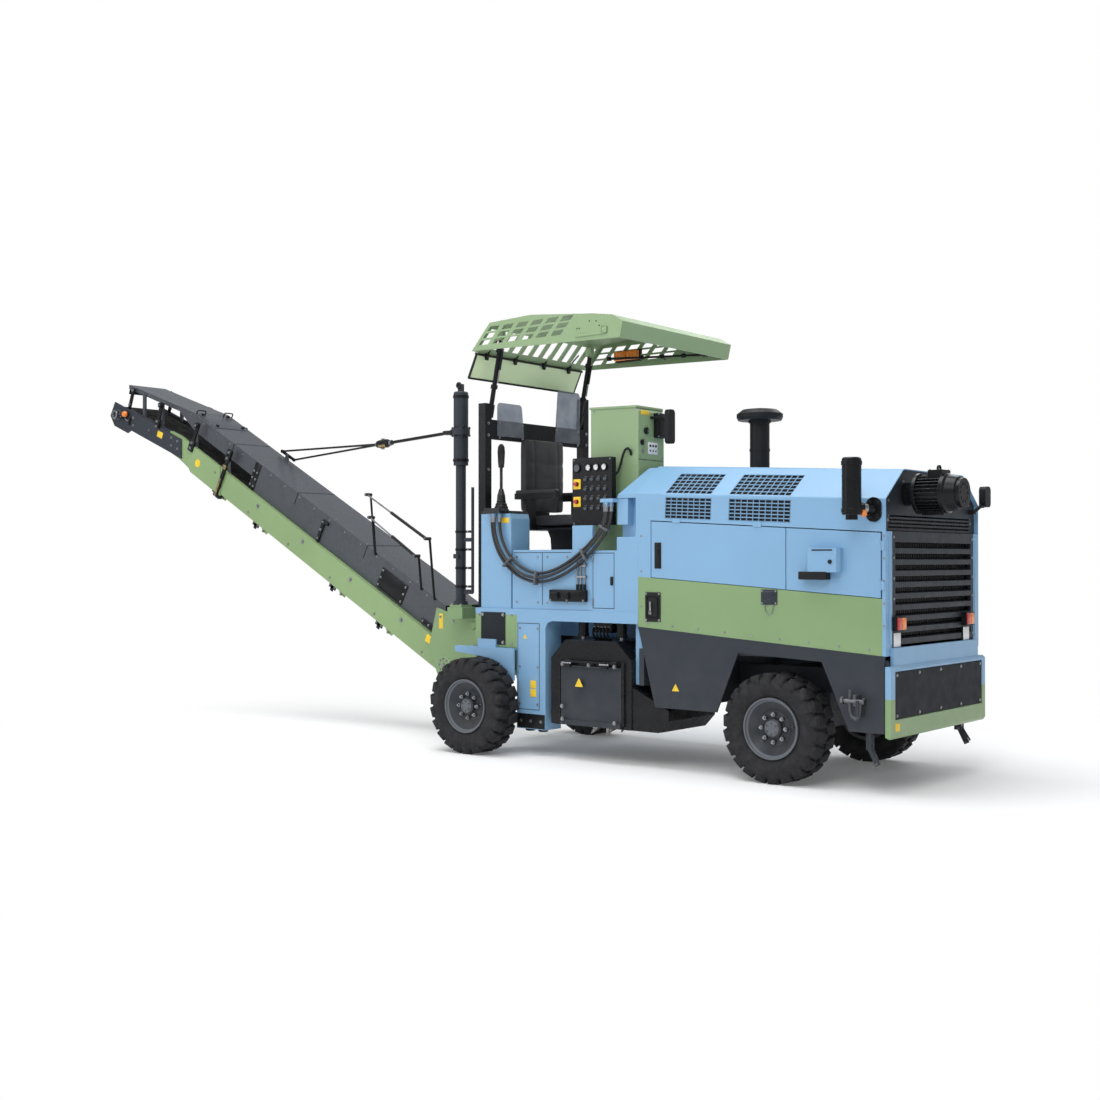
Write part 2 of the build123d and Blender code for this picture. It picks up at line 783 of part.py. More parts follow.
# ================================================================ rear frame
deck_low = deck_z - deck_t
cross_x = (-2455, -2395)
post_half_w = 130
lug_z = (480, 950)
lug_t = 30
with BuildPart() as rear_frame:
    block((deck_tail_x, bay_front_x), (-half_w, half_w), (deck_low, deck_z))
    # right side: the column beside the drum bay and the strip over the bay with its rounded corner
    column_y = (-half_w, -half_w + column_w)
    block((column_tail_x, bay_rear_x), column_y, (column_low, deck_low))
    strip = [
        (bay_rear_x, bay_strip_low - bay_round),
        (bay_rear_x + bay_round * 0.3, bay_strip_low - bay_round * 0.3),
        (bay_rear_x + bay_round, bay_strip_low),
        (bay_front_x, bay_strip_low),
        (bay_front_x, deck_low),
        (bay_rear_x, deck_low),
    ]
    side_plate(strip, -half_w, -half_w + 20)
    # left side: a closed panel, with two steps cut into it for climbing to the stand
    left_y = (half_w - left_panel_t, half_w)
    block((left_panel_tail_x, bay_front_x), left_y, (left_panel_low, deck_low))
    block((left_panel_tail_x, bay_front_x), (half_w - 70, half_w), (left_panel_low, left_panel_low + 25))
    for step_z in (560, 800):
        block((-1800, -1450), (half_w - 150, half_w), (step_z - 15, step_z + 155))
        block((-1790, -1460), (half_w - 140, half_w + 1), (step_z, step_z + 145), mode=Mode.SUBTRACT)
    # two rails carry the deck; the cross beam and the post carry the slewing lugs
    for side in (-1, 1):
        rail = side * rail_y
        block((cross_x[0], bay_front_x), (rail - rail_w / 2, rail + rail_w / 2), (rail_z[0], deck_low))
    block(cross_x, (leg_r + 2 - right_leg_y, left_leg_y - leg_r - 2), (900, deck_low))
    block((bay_front_x - 60, bay_front_x), (-half_w + 60, half_w - 60), (560, deck_low))
    block(cross_x, (-post_half_w, post_half_w), (450, 900))
    for z in lug_z:
        block((slew_x, cross_x[0]), (-60, 60), (z, z + lug_t))
        with Locations((slew_x, 0, z + lug_t / 2)):
            Cylinder(60, lug_t)
            Cylinder(slew_pin_r + pin_gap, lug_t + 10, mode=Mode.SUBTRACT)
rear_frame.part.label = "rear_frame"
export_step(rear_frame.part, "parts/rear_frame.step")

# Rear legs: a lift cylinder and an arm on each side carry the wheel spindles; the right one has a guard plate.
leg_x = -wheel_base
with BuildPart() as rear_legs:
    for side, wheel_y, leg_y in ((-1, rear_right_y, right_leg_y), (1, rear_left_y, left_leg_y)):
        turned([(0, 0), (0, 40), (360, 40), (360, leg_r), (deck_low - axle_z + 60, leg_r),
                (deck_low - axle_z + 60, 0)], (leg_x, side * leg_y, axle_z - 60), (0, 0, 1))
        block((leg_x - 75, leg_x + 75), (side * (leg_y - 70), side * (leg_y + 70)), (axle_z - 85, axle_z + 85))
        bar((leg_x, side * leg_y, axle_z), (leg_x, side * (wheel_y + 40), axle_z), spindle_r)
    guard_plate = [
        (-2742, 726),
        (-2455, 700),
        (-2332, 535),
        (column_tail_x - 2, 535),
        (column_tail_x - 2, 770),
        (-2742, 770),
    ]
    side_plate(guard_plate, fender_y - fender_t, fender_y)
    block((-2742, column_tail_x - 2), (fender_y, fender_y + 50), (758, 770))
    block((leg_x - 90, leg_x + 90), (fender_y, -right_leg_y - leg_r + 12), (742, 830))
rear_legs.part.label = "rear_legs"
export_step(rear_legs.part, "parts/rear_legs.step")

# ================================================================ milling unit
inner_x = (housing_x[0] + housing_wall, housing_x[1] - housing_wall)
shell_outline = [
    (housing_x[0], housing_low),
    (housing_x[1], housing_low),
    (housing_x[1], housing_high - housing_brow),
    (housing_x[1] - housing_brow, housing_high),
    (housing_x[0] + housing_brow, housing_high),
    (housing_x[0], housing_high - housing_brow),
]
hollow_outline = [
    (inner_x[0], housing_low - 1),
    (inner_x[1], housing_low - 1),
    (inner_x[1], housing_high - housing_brow - 4),
    (inner_x[1] - housing_brow + 8, housing_high - housing_wall),
    (inner_x[0] + housing_brow - 8, housing_high - housing_wall),
    (inner_x[0], housing_high - housing_brow - 4),
]
scraper_box = [
    (housing_x[1], housing_low),
    (-905, housing_low),
    (-825, 330),
    (-825, 400),
    (housing_x[1], 540),
]
rail_gap = 5
rail_t = 20
with BuildPart() as milling_housing:
    side_plate(shell_outline, *housing_y)
    side_plate(scraper_box, housing_y[0] + 10, housing_y[1] - 10)
    side_plate(hollow_outline, housing_y[0] + housing_wall, housing_y[1] - housing_wall, mode=Mode.SUBTRACT)
    for y in (housing_y[0] - 1, housing_y[1] - housing_wall - 1):
        with BuildSketch(Plane.XZ.offset(-y)) as bore:
            with Locations((drum_x, drum_z)):
                Circle(drum_shaft_r + spin_gap)
        extrude(bore.sketch, amount=-housing_wall - 2, mode=Mode.SUBTRACT)
    for y in ((housing_y[0] - 16, housing_y[0]), (housing_y[1], housing_y[1] + 16)):
        rear_rail = edge_plate_x[0] - rail_gap
        block((rear_rail - rail_t, rear_rail), y, (270, housing_high - housing_brow - 10))
        front_rail = edge_plate_x[1] + rail_gap
        block((front_rail, front_rail + rail_t), y, (270, housing_high - housing_brow - 10))
milling_housing.part.label = "milling_housing"
export_step(milling_housing.part, "parts/milling_housing.step")

# The milling drum: conical picks in holders, set in helices that carry the millings to the middle.
with BuildPart() as pick:
    holder = [
        (-34, drum_core_r - 14),
        (30, drum_core_r - 14),
        (24, drum_core_r + 30),
        (6, drum_core_r + 48),
        (-14, drum_core_r + 34),
    ]
    side_plate(holder, -holder_w / 2, holder_w / 2)
    lean = Vector(0.64, 0, 0.77)
    shank = Vector(8, 0, drum_core_r + 30)
    reach = drum_tip_r - drum_core_r - 22
    turned([(0, 0), (0, 14), (28, 14), (reach, 3), (reach, 0)], tuple(shank), tuple(lean))
with BuildPart() as milling_drum:
    with BuildSketch(Plane.XZ.offset(-drum_y[0])) as drum_face:
        with Locations((drum_x, drum_z)):
            Circle(drum_core_r)
    extrude(drum_face.sketch, amount=-(drum_y[1] - drum_y[0]))
    bar((drum_x, housing_y[0] + 1, drum_z), (drum_x, housing_y[1] - 1, drum_z), drum_shaft_r)
    pick_step = (drum_y[1] - drum_y[0] - holder_w - 16) / (pick_rows - 1)
    for row in range(pick_rows):
        y = drum_y[0] + holder_w / 2 + 8 + row * pick_step
        to_middle = abs(row - (pick_rows - 1) / 2)
        for turn in range(picks_per_row):
            angle = turn * 360 / picks_per_row + to_middle * row_turn + (row % 2) * 60
            with Locations(Location((drum_x, y, drum_z), (0, angle, 0))):
                add(pick.part)
milling_drum.part.label = "milling_drum"
export_step(milling_drum.part, "parts/milling_drum.step")

# Edge plates float up and down on the housing's sides: (name, inner y, side they face)
edge_plate_gap = 0.5
edge_plates = [
    ("right_edge_plate", housing_y[0] - edge_plate_gap, -1),
    ("left_edge_plate", housing_y[1] + edge_plate_gap, 1),
]
for name, y, side in edge_plates:
    outer = y + side * edge_plate_t
    with BuildPart() as edge_plate:
        block(edge_plate_x, (y, outer), edge_plate_z)
        block(edge_plate_x, (outer, outer + side * 14), (edge_plate_z[0], edge_plate_z[0] + 34))
        block((edge_plate_x[0] + 10, edge_plate_x[1] - 10), (outer, outer + side * 22),
              (edge_plate_z[1] - 8, edge_plate_z[1]))
        for x in (edge_plate_x[0] + 60, edge_plate_x[1] - 60):
            block((x - 20, x + 20), (y, outer), (edge_plate_z[1], edge_plate_z[1] + 40))
    edge_plate.part.label = name
    export_step(edge_plate.part, f"parts/{name}.step")

# ================================================================ operator's stand
# Hoses from the console to the valve: (name, y, route in X and Z)
hose_r = 11
valve_high = 1840
bulkhead_z = 1800
hoses = [
    ("stand_hose_upper", -722, [
        (-2301, 1730), (-2301, 1645), (-2262, 1528), (-2182, 1425), (-2072, 1350), (-1938, 1315), (-1795, 1336),
        (-1652, 1400), (-1520, 1482), (-1412, 1575), (-1352, 1650), (-1324, 1725), (-1324, 1785)]),
    ("stand_hose_middle", -742, [
        (-2338, 1730), (-2338, 1642), (-2296, 1515), (-2208, 1400), (-2090, 1318), (-1942, 1282), (-1790, 1305),
        (-1640, 1370), (-1505, 1455), (-1392, 1556), (-1327, 1638), (-1297, 1720), (-1297, 1785)]),
    ("stand_hose_lower", -724, [
        (-2375, 1730), (-2375, 1640), (-2330, 1500), (-2238, 1378), (-2105, 1290), (-1945, 1250), (-1785, 1275),
        (-1630, 1340), (-1490, 1430), (-1372, 1536), (-1302, 1625), (-1270, 1715), (-1270, 1785)]),
]
for name, y, route in hoses:
    points = []
    for x, z in route:
        points.append(Vector(x, y, z))
    radii = []
    for before, here, after in zip(points, points[1:], points[2:]):
        into, onward = here - before, after - here
        half_turn = radians(into.get_angle(onward)) / 2
        radii.append(0.45 * min(into.length, onward.length) / tan(half_turn))
    print(name, "radii", [round(radius) for radius in radii])
    with BuildPart() as hose:
        with BuildLine() as path:
            FilletPolyline(*points, radius=radii)
        with BuildSketch(Plane(origin=points[0], z_dir=points[1] - points[0])) as section:
            Circle(hose_r)
        sweep(section.sketch, path=path.wires()[0])
    length = path.wires()[0].length
    print(name, "length", round(length), "volume ratio", round(hose.part.volume / (pi * hose_r ** 2 * length), 4))
    hose.part.label = name
    export_step(hose.part, f"parts/{name}.step")


def tank_face(x):
    """The tank body's section: the hood's, carried down to the deck."""
    mid = line_z(shoulder, tail_x) - 3
    top = line_z(hood_top, tail_x) - 8
    with BuildSketch(Plane.YZ.offset(x)) as face:
        Polygon((-half_w, deck_z), (half_w, deck_z), (half_w, mid), (shoulder_y, top), (-shoulder_y, top),
                (-half_w, mid), align=None)
        fillet(face.vertices().group_by(Axis.Y)[-1], roof_round)
    return face.sketch


with BuildPart() as tank_housing:
    extrude(tank_face(tank_step_x), amount=tail_x - tank_step_x, dir=(1, 0, 0))
    brow = [
        (tank_step_x - 1, tank_brow_z),
        (tank_step_x + 110, 2080),
        (tank_step_x - 1, 2080),
    ]
    side_plate(brow, -half_w - 1, half_w + 1, mode=Mode.SUBTRACT)
    block((tank_tail_x, tank_step_x), (-half_w, half_w), (deck_z, tank_step_z))
    # valve recess on the right, over the filler door
    block((tank_step_x - 1, tank_step_x + 160), (-half_w - 1, -half_w + 70), (1575, 1842), mode=Mode.SUBTRACT)
    block((tank_step_x, tank_step_x + 90), (-half_w + 5, -half_w + 70), (1660, valve_high))
    block((tank_step_x - 105, tank_step_x + 5), (-half_w - 55, -half_w + 50), (valve_high - 25, valve_high))
    for name, y, route in hoses:
        x, z = route[-1]
        bar((x, y, z), (x, y, valve_high - 25), hose_r + 4)
tank_housing.part.label = "tank_housing"
export_step(tank_housing.part, "parts/tank_housing.step")

# Control cabinet with a cap that overhangs and a sloped front edge.
with BuildPart() as control_cabinet:
    step = tank_step_x - 2
    body = [
        (cabinet_x[0], tank_step_z),
        (step, tank_step_z),
        (step, tank_brow_z + 72),
        (cabinet_x[1], tank_brow_z + 120),
        (cabinet_x[1], cabinet_top - 40),
        (cabinet_x[1] - 20, cabinet_top - 14),
        (cabinet_x[0], cabinet_top - 4),
    ]
    side_plate(body, *cabinet_y)
    cap = [
        (cabinet_x[0] - 8, cabinet_top - 4),
        (cabinet_x[1] - 12, cabinet_top - 14),
        (cabinet_x[1] - 12, cabinet_top + 2),
        (cabinet_x[0] - 8, cabinet_top + 12),
    ]
    side_plate(cap, cabinet_y[0] - 8, cabinet_y[1] + 8)
control_cabinet.part.label = "control_cabinet"
export_step(control_cabinet.part, "parts/control_cabinet.step")

with BuildPart() as instrument_panel:
    with BuildSketch(Plane.XZ.offset(-panel_y[1])) as face:
        with Locations(((panel_x[0] + panel_x[1]) / 2, (panel_z[0] + panel_z[1]) / 2)):
            RectangleRounded(panel_x[1] - panel_x[0], panel_z[1] - panel_z[0], 12)
    extrude(face.sketch, amount=panel_y[1] - panel_y[0])
    block((-1600, -1500), (panel_y[1], cabinet_y[0]), (1900, 2000))
instrument_panel.part.label = "instrument_panel"
export_step(instrument_panel.part, "parts/instrument_panel.step")

# The stand's right wall under the panel, and the side console with its lever and hose bulkhead.
with BuildPart() as steering_column:
    block(wall_x, (-half_w + 10, -half_w + 35), (deck_z, wall_top))
    block((wall_x[1], tank_tail_x), (-half_w + 10, -half_w + 35), (deck_z, panel_z[0]))
    console = [
        (console_x[0], deck_z),
        (console_x[1], deck_z),
        (console_x[1], console_top - 60),
        (console_x[1] - 20, console_top),
        (console_x[0], console_top),
    ]
    side_plate(console, *console_y)
    block((-2420, -2270), (-762, console_y[0]), (bulkhead_z - 40, bulkhead_z - 20))
    block((-2420, -2270), (-762, -742), (bulkhead_z - 20, bulkhead_z))
    for name, y, route in hoses:
        x, z = route[0]
        bar((x, y, z), (x, y, bulkhead_z - 40), hose_r + 4)
    turned([(0, 0), (0, 55), (60, 40), (60, 34), (120, 30), (170, 16), (170, 10), (330, 10), (330, 22),
            (470, 26), (500, 14), (500, 0)], (-2400, -590, console_top), (0, 0, 1))
steering_column.part.label = "steering_column"
export_step(steering_column.part, "parts/steering_column.step")

# Seat base: pedestal, pan, a shell behind the backrest and armrests.
pan_z = seat_z[0] - 16
seat_mid_x = (seat_x[0] + seat_x[1]) / 2
with BuildPart() as seat_base:
    block((seat_mid_x - 110, seat_mid_x + 110), (seat_y - 130, seat_y + 130), (deck_z, deck_z + 30))
    pedestal = [
        (seat_mid_x - 80, deck_z + 30),
        (seat_mid_x + 80, deck_z + 30),
        (seat_mid_x + 120, pan_z - 60),
        (seat_mid_x + 150, pan_z),
        (seat_mid_x - 150, pan_z),
        (seat_mid_x - 120, pan_z - 60),
    ]
    side_plate(pedestal, seat_y - 100, seat_y + 100)
    block((back_x[0] - 12, seat_x[1]), (seat_y - seat_half_w + 15, seat_y + seat_half_w - 15), (pan_z, seat_z[0]))
    block((back_x[0] - 12, back_x[0]), (seat_y - 150, seat_y + 150), (seat_z[0], back_z[1] - 80))
    for side in (-1, 1):
        arm_y = (seat_y + side * (seat_half_w + 12), seat_y + side * (seat_half_w + 62))
        side_y_in = seat_y + side * (seat_half_w - 15)
        block((back_x[1] + 40, back_x[1] + 90), (side_y_in, arm_y[1]), (pan_z, seat_z[0]))
        block((back_x[1] + 40, back_x[1] + 90), arm_y, (seat_z[0], 1880))
        block((back_x[0] + 20, back_x[1] + 330), arm_y, (1880, 1925))
seat_base.part.label = "seat_base"
export_step(seat_base.part, "parts/seat_base.step")

# The seat's cushion and backrest.
with BuildPart() as operator_seat:
    block((back_x[1] + 4, seat_x[1]), (seat_y - seat_half_w, seat_y + seat_half_w), seat_z)
    block(back_x, (seat_y - seat_half_w, seat_y + seat_half_w), back_z)
operator_seat.part.label = "operator_seat"
export_step(operator_seat.part, "parts/operator_seat.step")

# Guard: two posts, a cross panel and a sleeve on each post in which the canopy's strut slides.
strut_y = guard_y - guard_post / 2 - strut_r - spin_gap
strut_axis = Vector(strut_top[0] - strut_low[0], 0, strut_top[1] - strut_low[1])
strut_lean = strut_axis.X / strut_axis.Z
with BuildPart() as guard_frame:
    for side, top in zip((-1, 1), guard_tops):
        mid = side * guard_y
        block((guard_x, guard_x + guard_post), (mid - guard_post / 2, mid + guard_post / 2), (deck_z, top))
        ends = []
        for z in sleeve_z:
            ends.append((strut_low[0] + strut_lean * (z - strut_low[1]), side * strut_y, z))
        bar(*ends, strut_r + 9)
        bar(ends[0] + strut_axis * -0.1, ends[1] + strut_axis * 0.1, strut_r + pin_gap, mode=Mode.SUBTRACT)
    inner = guard_y - guard_post / 2 + 5
    block(guard_panel_x, (-inner, inner), guard_panel)
guard_frame.part.label = "guard_frame"
export_step(guard_frame.part, "parts/guard_frame.step")

# Wind screens: plates with rounded corners on the cross panel's face.
with BuildPart() as wind_screens:
    for outer, foot_y, top_y, top in screens:
        with BuildSketch(Plane.YZ.offset(guard_panel_x[1])) as face:
            Polygon((outer, guard_panel[0] + 30), (foot_y, guard_panel[0] + 30), (top_y, top), (outer, top),
                    align=None)
            fillet(face.vertices().group_by(Axis.Y)[-1], 35)
        extrude(face.sketch, amount=screen_t)
wind_screens.part.label = "wind_screens"
export_step(wind_screens.part, "parts/wind_screens.step")

# ================================================================ canopy
# A hollow tray: roof, nose and side walls with a slanted lattice, and a slotted slope at the back.
slope_run = (canopy_brow[0] - canopy_tail[0]) / (canopy_brow[1] - canopy_tail[1])
tray_outline = [
    canopy_tail,
    canopy_brow,
    canopy_crown,
    canopy_front,
    canopy_lip,
    canopy_nose,
    canopy_foot,
]
tray_hollow = [
    (canopy_tail[0] + 11, canopy_tail[1]),
    (canopy_brow[0] + 4, canopy_brow[1] - canopy_t),
    (canopy_crown[0], canopy_crown[1] - canopy_t),
    (canopy_front[0], canopy_front[1] - canopy_t),
    (canopy_lip[0] - 3, canopy_lip[1] - canopy_t),
    (canopy_nose[0] - 9, canopy_nose[1] - 5),
    (canopy_foot[0] - 9, canopy_foot[1]),
    (canopy_foot[0] - 9, canopy_foot[1] - 50),
    (canopy_tail[0] + 11, canopy_foot[1] - 50),
]
wall_in = canopy_half_w - canopy_t
bracket_half_w = 18
with BuildPart() as canopy_roof:
    side_plate(tray_outline, -canopy_half_w, canopy_half_w)
    side_plate(tray_hollow, -wall_in, wall_in, mode=Mode.SUBTRACT)
    with BuildSketch(Plane.XZ) as lattice:
        for row in cell_rows:
            z = canopy_tail[1] + row - 6
            for column in range(cell_columns):
                x = canopy_tail[0] + 28 + row * slope_run + column * cell_pitch
                Polygon((x, z), (x + cell_w, z), (x + cell_w + cell_h * slope_run, z + cell_h),
                        (x + cell_h * slope_run, z + cell_h), align=None)
    for side in (-1, 1):
        extrude(lattice.sketch.moved(Location((0, side * (canopy_half_w - canopy_t / 2), 0))), amount=canopy_t,
                both=True, mode=Mode.SUBTRACT)
    for n in range(-5, 6):
        y = n * slat_pitch
        block((canopy_tail[0] - 1, canopy_brow[0] + 10), (y - slat_w / 2, y + slat_w / 2), (3022, 3148),
              mode=Mode.SUBTRACT)
    flap = [
        (canopy_tail[0] + 2, canopy_tail[1] + 2),
        (canopy_tail[0] + 9, canopy_tail[1] + 2),
        (flap_x + canopy_t, flap_low),
        (flap_x, flap_low),
    ]
    side_plate(flap, -flap_half_w, flap_half_w)
    for side in (-1, 1):
        block((strut_top[0] - 30, strut_top[0] + 30),
              (side * strut_y - bracket_half_w, side * strut_y + bracket_half_w), (strut_top[1] + 4, 3150))
canopy_roof.part.label = "canopy_roof"
export_step(canopy_roof.part, "parts/canopy_roof.step")

with BuildPart() as canopy_struts:
    for side in (-1, 1):
        bar((strut_low[0], side * strut_y, strut_low[1]), (strut_top[0], side * strut_y, strut_top[1]), strut_r)
    rod_x, rod_z = canopy_tail[0] - 14, canopy_tail[1] - 9
    bar((rod_x, -flap_half_w, rod_z), (rod_x, flap_half_w, rod_z), 9)
canopy_struts.part.label = "canopy_struts"
export_step(canopy_struts.part, "parts/canopy_struts.step")

# ================================================================ conveyor carrier
cheek_outline = [
    (carrier_front_x, 1000),
    (carrier_front_x, 712),
    (-2860, 690),
    (-3000, 600),
    (lift_x + 90, 480),
    (lift_x - 60, 470),
    (carrier_tail_x - 90, 700),
    (carrier_tail_x, 1031),
    (carrier_tail_x + 70, 1010),
    (carrier_tail_x + 180, 985),
    (mast_x + 90, 985),
]
front_plate_x = (-2772, -2744)
hook_z = (514, 922)
with BuildPart() as conveyor_carrier:
    for side in (-1, 1):
        side_plate(cheek_outline, *sorted((side * carrier_y, side * (carrier_y + carrier_t))))
        bar((lift_x, side * (carrier_y + carrier_t), lift_z), (lift_x, side * (side_y + 2), lift_z), lift_pin_r)
        outer = side * (carrier_y + carrier_t)
        turned([(0, 0), (0, 70), (10, 60), (10, 0)], (lift_x, outer, lift_z), (0, side, 0))
        turned([(0, 0), (0, 34), (14, 28), (14, 0)], (-2927, outer, 901), (0, side, 0))
    block(front_plate_x, (-carrier_y, carrier_y), (500, 985))
    for z in hook_z:
        block((front_plate_x[1], slew_x), (-50, 50), (z, z + 26))
        with Locations((slew_x, 0, z + 13)):
            Cylinder(50, 26)
    with Locations((slew_x, 0, 730)):
        Cylinder(slew_pin_r, 500)
    block((mast_x - 80, mast_x + 80), (mast_y - 70, -carrier_y - 4), (960, mast_low - 20))
    block((mast_x - 62, mast_x + 62), (mast_y - 62, mast_y + 62), (mast_low - 20, mast_low))
conveyor_carrier.part.label = "conveyor_carrier"
export_step(conveyor_carrier.part, "parts/conveyor_carrier.step")

# The mast: a fixed rod with a feed pipe beside it, and the barrel that slides on the rod.
pipe_x = mast_x + 126
pipe_r = 12
with BuildPart() as mast_rod:
    turned([(0, 0), (0, 56), (30, 56), (30, mast_rod_r), (mast_rod_top - mast_low, mast_rod_r),
            (mast_rod_top - mast_low, 0)], (mast_x, mast_y, mast_low), (0, 0, 1))
    bar((pipe_x, mast_y, 1160), (pipe_x, mast_y, 1985), pipe_r)
    block((mast_x, pipe_x), (mast_y - 9, mast_y + 9), (1150, 1186))
    block((mast_x, pipe_x), (mast_y - 9, mast_y + 9), (1560, 1590))
    block((mast_x - 24, mast_x + 24), (mast_y - 62, mast_y), (1428, 1464))
mast_rod.part.label = "mast_rod"
export_step(mast_rod.part, "parts/mast_rod.step")

barrel_h = mast_high - mast_split
bore_h = barrel_h - 25
collar_h = collar_z - mast_split
barrel_outline = [
    (0, mast_rod_r + pin_gap),
    (0, mast_barrel_r),
    (collar_h - 28, mast_barrel_r),
    (collar_h - 28, collar_r),
    (collar_h + 28, collar_r),
    (collar_h + 28, mast_barrel_r),
    (barrel_h - 8, mast_barrel_r),
    (barrel_h, mast_barrel_r - 8),
    (barrel_h, 0),
    (bore_h, 0),
    (bore_h, mast_rod_r + pin_gap),
]
with BuildPart() as mast_barrel:
    turned(barrel_outline, (mast_x, mast_y, mast_split), (0, 0, 1))
    block((mast_x - collar_r - 30, mast_x - collar_r + 12), (mast_y - 14, mast_y + 14), (collar_z - 24, collar_z + 24))
    block((mast_x - 16, mast_x + 16), (mast_y - 20, mast_y + 20), (mast_high - 4, mast_high + 62))
mast_barrel.part.label = "mast_barrel"
export_step(mast_barrel.part, "parts/mast_barrel.step")

# ================================================================ conveyor
rise = tan(radians(slope))
head_rise = tan(radians(head_slope))


def beam_line(x, drop=0):
    """Height of the side beam's top at station x, lowered by a drop square to the slope."""
    if x >= knee_x:
        return datum_z + rise * (datum_x - x) - drop / cos(radians(slope))
    knee_z = datum_z + rise * (datum_x - knee_x)
    return knee_z + head_rise * (knee_x - x) - drop / cos(radians(head_slope))


def beam_point(x, drop=0):
    """A point in X and Z on the beam line, lowered by a drop."""
    return (x, beam_line(x, drop))


doubler_x = (-6705, -6209)
with BuildPart() as conveyor_frame:
    beam_outline = [
        beam_point(conv_low_x),
        beam_point(knee_x),
        beam_point(joint_x),
        beam_point(joint_x - 50, head_h),
        beam_point(knee_x, head_h + 8),
        beam_point(doubler_x[0] + 60, side_h),
        beam_point(conv_low_x - 120, side_h),
    ]
    for side in (-1, 1):
        outer = side * (side_y + side_t)
        side_plate(beam_outline, *sorted((side * side_y, outer)))
        doubler = [
            beam_point(doubler_x[0] - 14, -10),
            beam_point(doubler_x[0], side_h - 20),
            beam_point(doubler_x[0] + 40, side_h + 12),
            beam_point(doubler_x[1], side_h + 12),
            beam_point(doubler_x[1], -10),
        ]
        side_plate(doubler, *sorted((outer, outer + side * 10)))
        with BuildSketch(Plane.XZ.offset(-sorted((side * side_y, outer))[0] + 1)) as bore:
            with Locations((lift_x, lift_z)):
                Circle(lift_pin_r + pin_gap)
        extrude(bore.sketch, amount=-side_t - 2, mode=Mode.SUBTRACT)
        for x in return_x:
            ear = [
                beam_point(x - 60, side_h - 12),
                beam_point(x - 26, side_h + 42),
                beam_point(x + 26, side_h + 42),
                beam_point(x + 60, side_h - 12),
            ]
            side_plate(ear, *sorted((side * side_y, side * (side_y + 10))))
    for x in (-3560, -4500, -5440, -6400):
        mid = beam_line(x, belt_mid)
        bar((x, -side_y - 5, mid), (x, side_y + 5, mid), 20)
conveyor_frame.part.label = "conveyor_frame"
export_step(conveyor_frame.part, "parts/conveyor_frame.step")

# The head: two dark arms bolted to the beams' ends, with the bearing plates of the head pulley.
arm_t = 14
arm_joint = joint_x + 190
with BuildPart() as conveyor_head:
    arm_outline = [
        beam_point(arm_joint, 12),
        beam_point(arm_joint, head_h - 14),
        beam_point(-7640, head_h),
        beam_point(-7700, side_h + 16),
        beam_point(head_x + 22, side_h + 16),
        beam_point(head_x - 50, side_h - 60),
        beam_point(head_x + 30, 4),
        beam_point(-7700, 4),
    ]
    for side in (-1, 1):
        outer = side * (side_y + side_t)
        side_plate(arm_outline, *sorted((outer, outer + side * arm_t)))
        arm_core = [
            beam_point(joint_x - 0.5),
            beam_point(joint_x - 50.5, head_h),
            beam_point(-7700, head_h - 20),
            beam_point(-7700, 4),
        ]
        side_plate(arm_core, *sorted((side * (side_y + 20), outer)))
        turned([(0, 0), (0, 62), (22, 54), (22, 34), (30, 30), (30, 0)],
               (belt_head_x, outer + side * arm_t, beam_line(belt_head_x, belt_mid)), (0, side, 0))
    cross = beam_line(-7560, belt_mid)
    bar((-7560, -side_y - 25, cross), (-7560, side_y + 25, cross), 20)
conveyor_head.part.label = "conveyor_head"
export_step(conveyor_head.part, "parts/conveyor_head.step")

# The cover: a folded sheet with flanges, walls on the lower stretch, straps, and the lug for the stays' yoke.
flange_drop = cover_h - 150
thin = 6
lug_z_top = beam_line(lug_x, -cover_h - lug_rise)
with BuildPart() as conveyor_cover:
    top_line = [
        beam_point(cover_low_x, -cover_h),
        beam_point(knee_x + 150, -cover_h),
        beam_point(cover_head_x, -cover_h + 60),
    ]
    under = []
    for x, z in reversed(top_line):
        under.append((x, z - cover_t))
    side_plate(top_line + under, -side_y, side_y)
    flange = [
        beam_point(cover_low_x, -cover_h),
        beam_point(knee_x + 150, -cover_h),
        beam_point(cover_head_x, -cover_h + 60),
        beam_point(cover_head_x, -cover_h + 100),
        beam_point(knee_x - 60, -cover_h + 60),
        beam_point(knee_x + 190, -cover_h + 150),
        beam_point(cover_low_x, -cover_h + 150),
    ]
    wall = [
        beam_point(cover_low_x, -cover_h + 140),
        beam_point(wall_head_x, -cover_h + 140),
        beam_point(wall_head_x, 20),
        beam_point(cover_low_x, 20),
    ]
    for side in (-1, 1):
        y_span = sorted((side * side_y, side * (side_y - thin)))
        side_plate(flange, *y_span)
        side_plate(wall, *y_span)
        for x in bracket_x[:2]:
            strap = [
                beam_point(x - 22, -cover_h + 140),
                beam_point(x + 22, -cover_h + 140),
                beam_point(x + 22, 20),
                beam_point(x - 22, 20),
            ]
            side_plate(strap, *y_span)
        for x in (-7180, -7480):
            strap = [
                beam_point(x - 16, -cover_h + 70),
                beam_point(x + 16, -cover_h + 70),
                beam_point(x + 16, 30),
                beam_point(x - 16, 30),
            ]
            side_plate(strap, *sorted((side * (side_y - thin), side * (side_y + 20))))
    lug = [
        beam_point(lug_x - 30, -cover_h + 4),
        (lug_x - 14, lug_z_top + 12),
        (lug_x + 14, lug_z_top + 12),
        beam_point(lug_x + 30, -cover_h + 4),
    ]
    side_plate(lug, lug_y - 14, lug_y - 4)
    bar((lug_x, lug_y - 14, lug_z_top), (lug_x, lug_y + 14, lug_z_top), stay_pin_r)
conveyor_cover.part.label = "conveyor_cover"
export_step(conveyor_cover.part, "parts/conveyor_cover.step")

